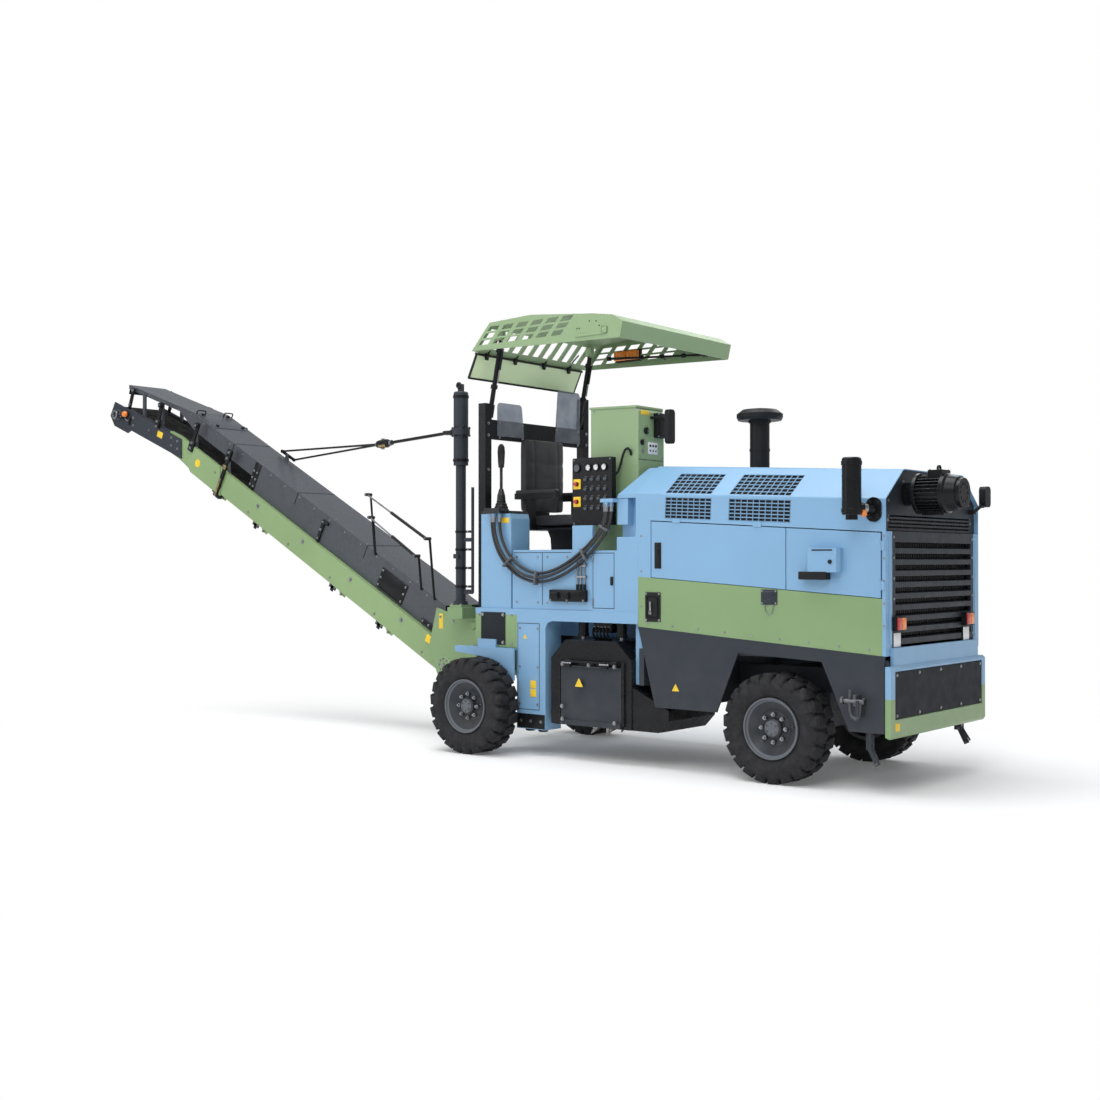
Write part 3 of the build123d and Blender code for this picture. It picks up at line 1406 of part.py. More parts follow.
# The belt runs round a tail pulley, over a roller at the knee and round the head pulley.
belt_centres = []
for x in (belt_tail_x, knee_x, belt_head_x):
    belt_centres.append(beam_point(x, belt_mid))
with BuildPart() as conveyor_belt:
    for radius, half, mode in (
        (pulley_r + belt_gap + belt_t, belt_half_w, Mode.ADD),
        (pulley_r + belt_gap, belt_half_w + 1, Mode.SUBTRACT),
    ):
        for run in (belt_centres[:2], belt_centres[1:]):
            with BuildSketch(Plane.XZ.offset(half)) as loop:
                with Locations(*run):
                    Circle(radius)
                make_hull()
            extrude(loop.sketch, amount=-2 * half, mode=mode)
conveyor_belt.part.label = "conveyor_belt"
export_step(conveyor_belt.part, "parts/conveyor_belt.step")

with BuildPart() as conveyor_rollers:
    for x, z in belt_centres:
        reach = side_y if x > joint_x else side_y + side_t
        bar((x, -reach, z), (x, reach, z), pulley_shaft_r)
        bar((x, -belt_half_w, z), (x, belt_half_w, z), pulley_r)
    for n in range(idler_count):
        x = idler_first_x - n * idler_pitch
        z = beam_line(x, belt_mid - pulley_r + idler_r)
        bar((x, -side_y, z), (x, side_y, z), idler_shaft_r)
        bar((x, -belt_half_w, z), (x, belt_half_w, z), idler_r)
    for x in return_x:
        z = beam_line(x, belt_mid + pulley_r + belt_t + 2 * belt_gap + return_r)
        bar((x, -side_y, z), (x, side_y, z), return_shaft_r)
        bar((x, -belt_half_w, z), (x, belt_half_w, z), return_r)
conveyor_rollers.part.label = "conveyor_rollers"
export_step(conveyor_rollers.part, "parts/conveyor_rollers.step")

# Stays: a rod from the mast's collar to a clevis, and two on to a yoke pinned to the conveyor's lug.
yoke_reach = 85
yoke_ends = []
for x in (lug_x - yoke_reach, lug_x + yoke_reach):
    yoke_ends.append((x, lug_y + 4, lug_z_top + rise * (lug_x - x)))
clevis = (-3975, -300, 2389)
stay_end = (mast_x - collar_r - 62, mast_y, collar_z)
with BuildPart() as stay_rods:
    yoke = []
    for x, drop in ((-yoke_reach, 16), (yoke_reach, 16), (yoke_reach, -16), (-yoke_reach, -16)):
        yoke.append((lug_x + x, lug_z_top - rise * x - drop))
    side_plate(yoke, lug_y, lug_y + 8)
    with BuildSketch(Plane.XZ.offset(-lug_y + 1)) as bore:
        with Locations((lug_x, lug_z_top)):
            Circle(stay_pin_r + pin_gap)
    extrude(bore.sketch, amount=-10, mode=Mode.SUBTRACT)
    for end in yoke_ends:
        bar((end[0], lug_y - 4, end[2]), (end[0], lug_y + 12, end[2]), 16)
        bar(end, clevis, 9)
    bar(clevis, stay_end, 13)
    turned([(0, 0), (0, 30), (30, 34), (120, 34), (150, 24), (150, 0)],
           (clevis[0] - 60, clevis[1] + 5, clevis[2]), (1, -0.12, 0.03))
    for y in (mast_y - 24, mast_y + 16):
        block((stay_end[0] - 30, stay_end[0] + 50), (y, y + 8), (collar_z - 16, collar_z + 16))
    block((stay_end[0] - 40, stay_end[0] - 14), (mast_y - 24, mast_y + 24), (collar_z - 16, collar_z + 16))
stay_rods.part.label = "stay_rods"
export_step(stay_rods.part, "parts/stay_rods.step")
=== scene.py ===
from math import cos, hypot, pi, radians, sin, tan

import bmesh
import bpy
from mathutils import Matrix, Vector


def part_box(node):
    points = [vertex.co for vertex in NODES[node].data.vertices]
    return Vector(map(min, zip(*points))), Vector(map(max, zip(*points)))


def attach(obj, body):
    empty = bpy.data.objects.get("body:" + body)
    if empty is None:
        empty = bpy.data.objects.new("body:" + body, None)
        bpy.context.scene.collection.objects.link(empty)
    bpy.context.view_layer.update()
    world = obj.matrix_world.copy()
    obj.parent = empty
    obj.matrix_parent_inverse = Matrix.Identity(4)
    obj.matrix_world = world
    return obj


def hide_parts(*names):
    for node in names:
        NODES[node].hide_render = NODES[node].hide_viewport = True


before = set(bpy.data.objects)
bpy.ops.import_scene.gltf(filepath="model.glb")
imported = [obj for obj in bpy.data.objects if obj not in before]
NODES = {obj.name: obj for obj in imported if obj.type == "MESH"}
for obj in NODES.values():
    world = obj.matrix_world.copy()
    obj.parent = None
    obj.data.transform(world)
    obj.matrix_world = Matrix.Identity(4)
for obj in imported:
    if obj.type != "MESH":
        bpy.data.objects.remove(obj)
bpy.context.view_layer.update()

# A compact wheeled cold planer. Metres, in the CAD model's frame: +X forward, +Y the machine's left, +Z up.

scene = bpy.context.scene

# Paint and rubber colours, linear
LIGHT_BLUE = (0.215, 0.405, 0.620)
STRIPE_GREEN = (0.225, 0.345, 0.160)
CANOPY_GREEN = (0.255, 0.370, 0.195)
CONVEYOR_GREEN = (0.250, 0.370, 0.170)
DARK_GREY = (0.034, 0.041, 0.052)
BLACK = (0.007, 0.0075, 0.009)
# the flap's pale green, raised further with painted light: the glow of light through the sheet
FLAP_GREEN_WITH_PAINTED_LIGHT = (0.76, 0.93, 0.58)
# a lighter copy of the dark grey for the conveyor's cover: painted light from above on its top
COVER_LIT_GREY = (0.060, 0.068, 0.080)
# a darker dish and a paler lip on the rims: painted shade in the dish and a painted highlight on the lip
SHADED_DISH_GREY = (0.034, 0.039, 0.047)
HIGHLIT_LIP_GREY = (0.120, 0.135, 0.155)
PANEL_GREY = (0.016, 0.019, 0.024)
DECAL_YELLOW = (0.90, 0.60, 0.03)
LAMP_AMBER = (0.95, 0.25, 0.02)
LAMP_RED = (0.55, 0.02, 0.015)
PLATE_WHITE = (0.82, 0.83, 0.84)
ROAD_DUST = (0.36, 0.33, 0.29)
# the pale grey on the edges of dark paint: a painted edge highlight with a little wear
HIGHLIGHT_AND_WEAR_GREY = (0.22, 0.23, 0.25)
SOOT = (0.016, 0.016, 0.018)

# Where a piece changes colour: the bumper's and the console's height, the flap's foremost station
BUMPER_SPLIT = 0.580
CONSOLE_SPLIT = 1.7585
FLAP_SPLIT = -2.6015
RIM_LIP = 0.085


# ================================================================ materials
class Finish:
    """A material under construction: its nodes, links and shader, and the noises that vary it."""

    def __init__(self, name, roughness, metallic=0.0, specular=0.5):
        self.material = bpy.data.materials.new(name)
        self.material.use_nodes = True
        self.nodes = self.material.node_tree.nodes
        self.links = self.material.node_tree.links
        self.shader = self.nodes["Principled BSDF"]
        self.shader.inputs["Roughness"].default_value = roughness
        self.shader.inputs["Metallic"].default_value = metallic
        self.shader.inputs["Specular IOR Level"].default_value = specular
        self.place = self.nodes.new("ShaderNodeTexCoord").outputs["Object"]

    def noise(self, scale, detail=2.0, stretch=None):
        """Noise in the piece's own space; stretch pulls it along an axis, as brushing does."""
        source = self.place
        if stretch:
            mapping = self.nodes.new("ShaderNodeMapping")
            mapping.inputs["Scale"].default_value = stretch
            self.links.new(self.place, mapping.inputs["Vector"])
            source = mapping.outputs["Vector"]
        node = self.nodes.new("ShaderNodeTexNoise")
        node.inputs["Scale"].default_value = scale
        node.inputs["Detail"].default_value = detail
        self.links.new(source, node.inputs["Vector"])
        return node.outputs["Fac"]

    def spread(self, value, low, high, to_low=0.0, to_high=1.0):
        """Stretches part of a value's range over another range."""
        node = self.nodes.new("ShaderNodeMapRange")
        for key, number in (("From Min", low), ("From Max", high), ("To Min", to_low), ("To Max", to_high)):
            node.inputs[key].default_value = number
        self.links.new(value, node.inputs["Value"])
        return node.outputs["Result"]

    def mixed(self, factor, first, second):
        """A mix of two colours, each a colour or another node's output."""
        node = self.nodes.new("ShaderNodeMix")
        node.data_type = "RGBA"
        self.links.new(factor, node.inputs["Factor"])
        for socket, colour in ((node.inputs["A"], first), (node.inputs["B"], second)):
            if isinstance(colour, tuple):
                socket.default_value = (*colour, 1.0)
            else:
                self.links.new(colour, socket)
        return node.outputs["Result"]

    def cells(self, scale, feature="F1"):
        """A grain of small cells in the piece's own space."""
        node = self.nodes.new("ShaderNodeTexVoronoi")
        node.feature = feature
        node.inputs["Scale"].default_value = scale
        self.links.new(self.place, node.inputs["Vector"])
        return node.outputs["Distance"]

    def height(self, axis):
        """The piece's own coordinate along X, Y or Z."""
        node = self.nodes.new("ShaderNodeSeparateXYZ")
        self.links.new(self.place, node.inputs[0])
        return node.outputs[axis]

    def product(self, first, second):
        """Two values multiplied."""
        node = self.nodes.new("ShaderNodeMath")
        node.operation = "MULTIPLY"
        self.links.new(first, node.inputs[0])
        self.links.new(second, node.inputs[1])
        return node.outputs[0]

    def rounded_normal(self, radius):
        """The surface normal with its sharp edges rounded off."""
        node = self.nodes.new("ShaderNodeBevel")
        node.samples = 4
        node.inputs["Radius"].default_value = radius
        return node.outputs["Normal"]

    def edges(self, normal):
        """1 where the rounded normal leaves the true one, which is along an edge."""
        geometry = self.nodes.new("ShaderNodeNewGeometry")
        dot = self.nodes.new("ShaderNodeVectorMath")
        dot.operation = "DOT_PRODUCT"
        self.links.new(normal, dot.inputs[0])
        self.links.new(geometry.outputs["Normal"], dot.inputs[1])
        return self.spread(dot.outputs["Value"], 0.985, 0.90)

    def relief(self, value, strength, distance, normal=None):
        """Raises the surface by a value, over a rounded normal where one is given."""
        node = self.nodes.new("ShaderNodeBump")
        node.inputs["Strength"].default_value = strength
        node.inputs["Distance"].default_value = distance
        self.links.new(value, node.inputs["Height"])
        if normal is not None:
            self.links.new(normal, node.inputs["Normal"])
        self.links.new(node.outputs["Normal"], self.shader.inputs["Normal"])

    def colour(self, output):
        self.links.new(output, self.shader.inputs["Base Color"])

    def roughness(self, output):
        self.links.new(output, self.shader.inputs["Roughness"])


def shade(colour, factor):
    """A colour made darker or lighter."""
    return tuple(min(1.0, channel * factor) for channel in colour)


def body_paint(name, colour, gloss=0.34, dust=0.14, split=None, edge_highlight_and_wear=0.35, shine=None):
    """Sprayed paint with soft unevenness, lighter edges that are a painted edge highlight with a little wear
    by rubbing, and road dust low down.
    split is (axis, limit, colour past the limit) for a piece sprayed in two colours.
    Pale paint shines more than dark paint unless shine says otherwise."""
    finish = Finish(name, gloss, specular=shine or (0.5 if colour[1] > 0.15 else 0.22))
    broad = finish.spread(finish.noise(1.3, 3.0), 0.3, 0.7)
    result = finish.mixed(broad, shade(colour, 0.95), shade(colour, 1.05))
    if split:
        axis, limit, other = split
        past = finish.spread(finish.height(axis), limit - 0.0005, limit + 0.0005)
        result = finish.mixed(past, result, other)
    if dust:
        low = finish.spread(finish.height("Z"), 1.1, 0.15, 0.0, dust)
        cloud = finish.spread(finish.noise(7.0, 6.0), 0.35, 0.75)
        result = finish.mixed(finish.product(low, cloud), result, ROAD_DUST)
    normal = finish.rounded_normal(0.004)
    # Lighter edges: a painted highlight along the edges, in patches, with a little wear by rubbing.
    patchy = finish.spread(finish.noise(60.0, 4.0), 0.35, 0.75, 0.0, edge_highlight_and_wear)
    highlit_and_rubbed = finish.product(finish.edges(normal), patchy)
    result = finish.mixed(highlit_and_rubbed, result, shade(colour, 1.5) if colour[2] > 0.15 else HIGHLIGHT_AND_WEAR_GREY)
    finish.colour(result)
    finish.roughness(finish.spread(finish.noise(11.0, 5.0), 0.3, 0.7, gloss - 0.05, gloss + 0.09))
    finish.relief(finish.noise(420.0, 2.0), 0.05, 0.001, normal)
    return finish.material


def cast_metal(name, colour=(0.085, 0.088, 0.095)):
    """Painted casting: a sandy skin with oily patches, and lighter edges that are a painted edge highlight
    with a little wear.
    """
    finish = Finish(name, 0.55, metallic=0.25)
    patches = finish.spread(finish.noise(9.0, 5.0), 0.35, 0.7)
    normal = finish.rounded_normal(0.003)
    result = finish.mixed(patches, shade(colour, 0.7), shade(colour, 1.35))
    # lighter edges: a painted edge highlight, in the same patches, with a little wear
    finish.colour(finish.mixed(finish.product(finish.edges(normal), patches), result, (0.30, 0.30, 0.30)))
    finish.roughness(finish.spread(finish.noise(30.0), 0.3, 0.7, 0.42, 0.68))
    finish.relief(finish.noise(320.0, 3.0), 0.30, 0.002, normal)
    return finish.material


def drawn_steel(name, colour=(0.52, 0.53, 0.55), roughness=0.28):
    """Bright steel with fine drawing lines and a little tarnish."""
    finish = Finish(name, roughness, metallic=1.0)
    lines = finish.noise(90.0, 3.0, stretch=(1.0, 14.0, 14.0))
    tarnish = finish.spread(finish.noise(14.0, 4.0), 0.45, 0.75)
    finish.colour(finish.mixed(tarnish, colour, shade(colour, 0.62)))
    finish.roughness(finish.spread(lines, 0.3, 0.7, roughness - 0.08, roughness + 0.14))
    finish.relief(lines, 0.08, 0.001, finish.rounded_normal(0.0015))
    return finish.material


def moulded_rubber(name, colour=(0.017, 0.017, 0.018), dust=0.22, grain=260.0):
    """Black rubber, dusty in its hollows, with a fine mould texture and lighter edges that are a painted edge
    highlight with some dust.
    """
    finish = Finish(name, 0.72, specular=0.25)
    dust_and_edge_sheen = finish.spread(finish.noise(16.0, 7.0), 0.45, 0.78, 0.0, dust)
    normal = finish.rounded_normal(0.0025)
    result = finish.mixed(dust_and_edge_sheen, colour, (0.17, 0.165, 0.155))
    # lighter edges where there is dust: a painted edge highlight with some dust
    finish.colour(finish.mixed(finish.product(finish.edges(normal), dust_and_edge_sheen), result, (0.12, 0.12, 0.12)))
    finish.roughness(finish.spread(finish.noise(40.0), 0.3, 0.7, 0.62, 0.85))
    finish.relief(finish.noise(grain, 4.0), 0.22, 0.0012, normal)
    return finish.material


def hose_cover(name):
    """Hydraulic hose: a ribbed black wrap with a slight oily gloss."""
    finish = Finish(name, 0.5, specular=0.45)
    finish.colour(finish.mixed(finish.noise(24.0, 4.0), SOOT, (0.040, 0.040, 0.043)))
    finish.roughness(finish.spread(finish.noise(60.0), 0.3, 0.7, 0.40, 0.60))
    finish.relief(finish.noise(700.0, 2.0), 0.35, 0.0008)
    return finish.material


def grained_plastic(name, colour=BLACK, roughness=0.46):
    """Moulded plastic with a leather-like grain and paler edges that are a painted edge highlight with a
    little wear by rubbing.
    """
    finish = Finish(name, roughness, specular=0.28)
    normal = finish.rounded_normal(0.002)
    tone = finish.mixed(finish.noise(6.0, 4.0), shade(colour, 0.85), shade(colour, 1.3))
    # paler edges: a painted edge highlight with a little wear
    finish.colour(finish.mixed(finish.edges(normal), tone, shade(colour, 1.9)))
    finish.roughness(finish.spread(finish.noise(18.0), 0.3, 0.7, roughness - 0.06, roughness + 0.1))
    finish.relief(finish.cells(380.0), 0.12, 0.0008, normal)
    return finish.material


def seat_vinyl(name):
    """Black seat vinyl: creased grain, softly shiny where it is sat on."""
    finish = Finish(name, 0.48, specular=0.4)
    creases = finish.cells(260.0, "DISTANCE_TO_EDGE")
    finish.colour(finish.mixed(finish.noise(5.0, 5.0), SOOT, (0.036, 0.036, 0.040)))
    finish.roughness(finish.spread(finish.noise(8.0, 4.0), 0.3, 0.7, 0.38, 0.62))
    finish.relief(finish.spread(creases, 0.0, 0.12), 0.35, 0.0008)
    return finish.material


def lamp_lens(name, colour):
    """Moulded lens: glossy, with the fine ribs that spread the light."""
    finish = Finish(name, 0.12, specular=0.6)
    finish.shader.inputs["Coat Weight"].default_value = 0.4
    ribs = finish.nodes.new("ShaderNodeTexWave")
    ribs.bands_direction = "Z"
    ribs.inputs["Scale"].default_value = 60.0
    finish.links.new(finish.place, ribs.inputs["Vector"])
    finish.colour(finish.mixed(finish.noise(30.0), shade(colour, 0.82), shade(colour, 1.08)))
    finish.roughness(finish.spread(finish.noise(70.0), 0.3, 0.7, 0.10, 0.20))
    finish.relief(ribs.outputs["Fac"], 0.35, 0.001)
    return finish.material


def tinted_sheet(name):
    """Smoked clear sheet of the wind screens, with a faint haze of dust."""
    finish = Finish(name, 0.08, specular=0.5)
    finish.shader.inputs["Transmission Weight"].default_value = 0.55
    finish.shader.inputs["IOR"].default_value = 1.2
    haze = finish.spread(finish.noise(9.0, 5.0), 0.4, 0.8)
    finish.colour(finish.mixed(haze, (0.30, 0.33, 0.40), (0.46, 0.48, 0.53)))
    finish.roughness(finish.spread(finish.noise(26.0), 0.35, 0.75, 0.06, 0.16))
    finish.relief(finish.noise(3.0), 0.04, 0.002)
    return finish.material


def sticker(name, colour):
    """Blank vinyl label with a little fading and a scuffed surface."""
    finish = Finish(name, 0.42, specular=0.45)
    finish.colour(finish.mixed(finish.noise(18.0, 5.0), shade(colour, 0.86), shade(colour, 1.06)))
    finish.roughness(finish.spread(finish.noise(90.0), 0.3, 0.7, 0.34, 0.52))
    finish.relief(finish.noise(500.0), 0.06, 0.0005)
    return finish.material


def mirror_glass(name):
    """Silvered glass with a faint film of dirt."""
    finish = Finish(name, 0.04, metallic=1.0)
    finish.colour(finish.mixed(finish.noise(12.0, 4.0), (0.70, 0.73, 0.76), (0.80, 0.82, 0.84)))
    finish.roughness(finish.spread(finish.noise(40.0, 5.0), 0.4, 0.8, 0.02, 0.10))
    finish.relief(finish.noise(5.0), 0.01, 0.001)
    return finish.material


blue_paint = body_paint("light_blue_paint", LIGHT_BLUE)
green_paint = body_paint("stripe_green_paint", STRIPE_GREEN)
canopy_paint = body_paint("canopy_green_paint", CANOPY_GREEN, gloss=0.40, dust=0.0)
grey_paint = body_paint("dark_grey_paint", DARK_GREY, gloss=0.42, dust=0.07)
black_paint = body_paint("black_paint", BLACK, gloss=0.26, dust=0.03)
grille_paint = body_paint("grille_paint", shade(DARK_GREY, 0.75), gloss=0.40, dust=0.0)
panel_paint = body_paint("panel_paint", PANEL_GREY, gloss=0.62, dust=0.0)
bumper_paint = body_paint("bumper_paint", STRIPE_GREEN, split=("Z", BUMPER_SPLIT, LIGHT_BLUE))
console_paint = body_paint("console_paint", LIGHT_BLUE, split=("Z", CONSOLE_SPLIT, BLACK))
# the flap is painted paler than the roof: its pale green with painted light from behind
roof_paint = body_paint("roof_paint", FLAP_GREEN_WITH_PAINTED_LIGHT, gloss=0.40, dust=0.0, split=("X", FLAP_SPLIT, CANOPY_GREEN))
# a lighter copy of the dark grey: painted light from above on the cover
cover_lit_paint = body_paint("cover_lit_grey_paint", COVER_LIT_GREY, gloss=0.28, dust=0.0, shine=0.5)
brass_plate = drawn_steel("brass_plate", (0.40, 0.30, 0.14), 0.38)
dull_steel = drawn_steel("dull_steel", (0.20, 0.205, 0.215), 0.40)
conveyor_paint = body_paint("conveyor_green_paint", CONVEYOR_GREEN, dust=0.0)
carrier_paint = body_paint("carrier_green_paint", STRIPE_GREEN, dust=0.10)
casting = cast_metal("cast_steel")
worn_steel = drawn_steel("worn_pick_steel", (0.33, 0.32, 0.31), 0.42)
bright_steel = drawn_steel("bright_steel", (0.36, 0.37, 0.39), 0.32)
tyre_rubber = moulded_rubber("tyre_rubber", colour=(0.020, 0.020, 0.022), dust=0.10)
belt_rubber = moulded_rubber("belt_rubber", dust=0.45, grain=160.0)
skirt_rubber = moulded_rubber("skirt_rubber", dust=0.2)
hose_rubber = hose_cover("hose_rubber")
black_plastic = grained_plastic("black_plastic")
grey_plastic = grained_plastic("grey_plastic", (0.10, 0.11, 0.12))
seat_cover = seat_vinyl("seat_vinyl")
amber_lens = lamp_lens("amber_lens", LAMP_AMBER)
red_lens = lamp_lens("red_lens", LAMP_RED)
clear_lens = lamp_lens("clear_lens", (0.75, 0.78, 0.80))
screen_sheet = tinted_sheet("tinted_screen")
yellow_label = sticker("yellow_label", DECAL_YELLOW)
white_plate = sticker("white_plate", PLATE_WHITE)
glass_mirror = mirror_glass("mirror_glass")

# The colour slot that a finish belongs to; labels and plates have none
SLOTS = {
    "light_blue_paint": (blue_paint,),
    "green_paint": (green_paint, canopy_paint),
    "dark_grey_paint": (grey_paint, panel_paint, cover_lit_paint),
    "black_paint": (black_paint,),
    "cast_steel": (casting,),
    "bright_steel": (bright_steel, dull_steel, brass_plate, glass_mirror),
    "tyre_rubber": (tyre_rubber,),
    "belt_rubber": (skirt_rubber,),
    "black_plastic": (black_plastic, grey_plastic, seat_cover),
    "lamp_lens": (amber_lens, red_lens, clear_lens),
}
SLOT_OF = {finish.name: slot for slot, finishes in SLOTS.items() for finish in finishes}

# What the CAD nodes are finished in; the tyres, vents, hoses and seat are replaced by pieces of this script
NODE_FINISHES = (
    (blue_paint, "hood right_rear_door left_rear_door right_front_door left_front_door rear_frame rear_legs "
                 "tank_housing"),
    (green_paint, "side_bands"),
    (canopy_paint, "control_cabinet"),
    (roof_paint, "canopy_roof"),
    (carrier_paint, "conveyor_carrier"),
    (conveyor_paint, "conveyor_frame"),
    (cover_lit_paint, "conveyor_cover"),
    (bumper_paint, "front_bumper"),
    (console_paint, "steering_column"),
    (panel_paint, "bumper_panel"),
    (grille_paint, "front_grille hood_end_plate"),
    (grey_paint, "main_frame side_skirts right_edge_plate left_edge_plate mast_rod mast_barrel "
                 "conveyor_head"),
    (black_paint, "exhaust_muffler fan_motor milling_housing instrument_panel guard_frame canopy_struts "
                  "stay_rods"),
    (black_plastic, "tail_lamps air_intake mirrors seat_base"),
    (casting, "front_axle knuckle_right knuckle_left engine_block"),
    (bright_steel, "tie_rod conveyor_rollers"),
    (worn_steel, "milling_drum"),
    (belt_rubber, "conveyor_belt"),
    (screen_sheet, "wind_screens"),
)


def rim_paint_with_painted_light(name):
    """A paler lip with a painted highlight and a darker dish with painted shade; the lip is what lies far
    from the wheel's middle, on the outer side.
    """
    low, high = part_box(name)
    side = -1 if name.endswith("right") else 1
    limit = (low.y + high.y) / 2 + side * RIM_LIP
    # painted shade in the dish and a painted highlight on the lip
    pair = (SHADED_DISH_GREY, HIGHLIT_LIP_GREY) if side > 0 else (HIGHLIT_LIP_GREY, SHADED_DISH_GREY)
    return body_paint(f"{name}_paint", pair[0], gloss=0.36, dust=0.12, split=("Y", limit, pair[1]))


def set_finish(name, finish):
    """Gives a CAD node one finish."""
    slots = NODES[name].data.materials
    slots.clear()
    slots.append(finish)


for finish, names in NODE_FINISHES:
    for name in names.split():
        set_finish(name, finish)
for name in NODES:
    if name.startswith("rim_"):
        set_finish(name, rim_paint_with_painted_light(name))


# ================================================================ shaping helpers
def add_block(bm, low, high, edge=0.0, segments=2):
    """A block between two corners, with its edges rounded."""
    low, high = Vector(low), Vector(high)
    made = bmesh.ops.create_cube(bm, size=1.0)["verts"]
    bmesh.ops.scale(bm, vec=high - low, verts=made)
    bmesh.ops.translate(bm, vec=(low + high) / 2, verts=made)
    if edge:
        rim = list({e for v in made for e in v.link_edges})
        made = bmesh.ops.bevel(bm, geom=made + rim, offset=edge, offset_type="OFFSET", affect="EDGES",
                               segments=segments, profile=0.5, material=-1)["verts"]
    return made


def facing(direction, origin=(0.0, 0.0, 0.0)):
    """A matrix whose Z points along a direction, at an origin."""
    turn = Vector(direction).to_track_quat("Z", "Y").to_matrix().to_4x4()
    return Matrix.Translation(Vector(origin)) @ turn


def add_rod(bm, start, end, radius, sides=20):
    """A round bar between two points; six sides make it a nut."""
    start, end = Vector(start), Vector(end)
    along = end - start
    bmesh.ops.create_cone(bm, cap_ends=True, cap_tris=False, segments=sides, radius1=radius, radius2=radius,
                          depth=along.length, matrix=facing(along, (start + end) / 2))


def add_turned(bm, origin, along, outline, sides=28):
    """A turned shape: an outline of (distance along the axis, radius), closed at the poles."""
    axis = Vector(along).normalized()
    side = facing(axis).to_3x3() @ Vector((1, 0, 0))
    ring = [bm.verts.new(Vector(origin) + axis * distance + side * radius) for distance, radius in outline]
    edges = [bm.edges.new(pair) for pair in zip(ring, ring[1:])]
    bmesh.ops.spin(bm, geom=ring + edges, cent=origin, axis=axis, angle=2 * pi, steps=sides, use_merge=True)
    bmesh.ops.remove_doubles(bm, verts=bm.verts[:], dist=1e-6)


def add_band(bm, origin, along, inner, outer, length, sides=32):
    """A flat collar round an axis."""
    add_turned(bm, origin, along, [(0.0, inner), (0.0, outer), (length, outer), (length, inner)], sides)


def add_bolt(bm, place, out, size, height):
    """A washer and a hexagon head, standing out from a face."""
    place, out = Vector(place), Vector(out).normalized()
    add_rod(bm, place - out * 0.001, place + out * height * 0.25, size * 1.35, sides=12)
    add_rod(bm, place + out * height * 0.2, place + out * height, size, sides=6)


def add_bolts(bm, places, out, size, height):
    """The same bolt at every place."""
    for place in places:
        add_bolt(bm, place, out, size, height)


def circle(count, radius, start=0.0):
    """Points spread evenly round a circle, as (across, up) pairs; start is in shares of a step."""
    angles = [2 * pi * (n + start) / count for n in range(count)]
    return [(radius * cos(angle), radius * sin(angle)) for angle in angles]


def add_bent_bar(bm, points, radius, sides=12, balls=0):
    """A bar through points; a count of balls' segments rounds its knees."""
    for start, end in zip(points, points[1:]):
        add_rod(bm, start, end, radius, sides)
    if balls:
        for point in points[1:-1]:
            made = bmesh.ops.create_uvsphere(bm, u_segments=balls, v_segments=8, radius=radius)["verts"]
            bmesh.ops.translate(bm, vec=point, verts=made)


def smooth_faces(bm, angle=40.0):
    """Shades round faces smooth and keeps creases past an angle sharp."""
    for face in bm.faces:
        face.smooth = True
    for edge in bm.edges:
        if len(edge.link_faces) != 2 or edge.calc_face_angle(0.0) > radians(angle):
            edge.smooth = False


def make_piece(name, bm, body, material, slot=None, angle=40.0):
    """Turns a finished bmesh into a piece that rides on a body; the slot it works out, from its finish unless
    one is given, is not used.
    """
    bmesh.ops.recalc_face_normals(bm, faces=bm.faces[:])
    smooth_faces(bm, angle)
    mesh = bpy.data.meshes.new(name)
    bm.to_mesh(mesh)
    bm.free()
    piece = bpy.data.objects.new(name, mesh)
    scene.collection.objects.link(piece)
    mesh.materials.append(material)
    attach(piece, body)
    slot = slot or SLOT_OF.get(material.name)
    return piece


def thicken(piece, name, thickness):
    """Gives a sheet its wall, on its back."""
    wall = piece.modifiers.new(name, "SOLIDIFY")
    wall.thickness = thickness
    wall.offset = -1.0


def middle_of(node):
    """The middle of a CAD node's box."""
    low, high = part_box(node)
    return (low + high) / 2


# ================================================================ tyres
LUGS = 22
LUG_SKEW = radians(13.0)
RIM_SEAT = 0.1975


def add_lug(bm, wheel_r, half_w, side, turn):
    """One chunky L-shaped lug: a bar over the tread that turns down the side wall."""
    made = add_block(bm, (-0.034, side * 0.006, wheel_r - 0.024),
                     (0.030, side * half_w * 0.80, wheel_r), 0.004, 1)
    made += add_block(bm, (-0.038, side * half_w * 0.42, wheel_r - 0.028),
                      (0.040, side * half_w * 0.88, wheel_r - 0.0005), 0.004, 1)
    made += add_block(bm, (-0.034, side * half_w * 0.80, wheel_r - 0.072),
                      (0.036, side * half_w * 0.965, wheel_r - 0.009), 0.006, 1)
    bmesh.ops.rotate(bm, cent=(0, 0, 0), matrix=Matrix.Rotation(side * LUG_SKEW, 4, "Z"), verts=made)
    bmesh.ops.rotate(bm, cent=(0, 0, 0), matrix=Matrix.Rotation(turn, 3, "Y"), verts=made)


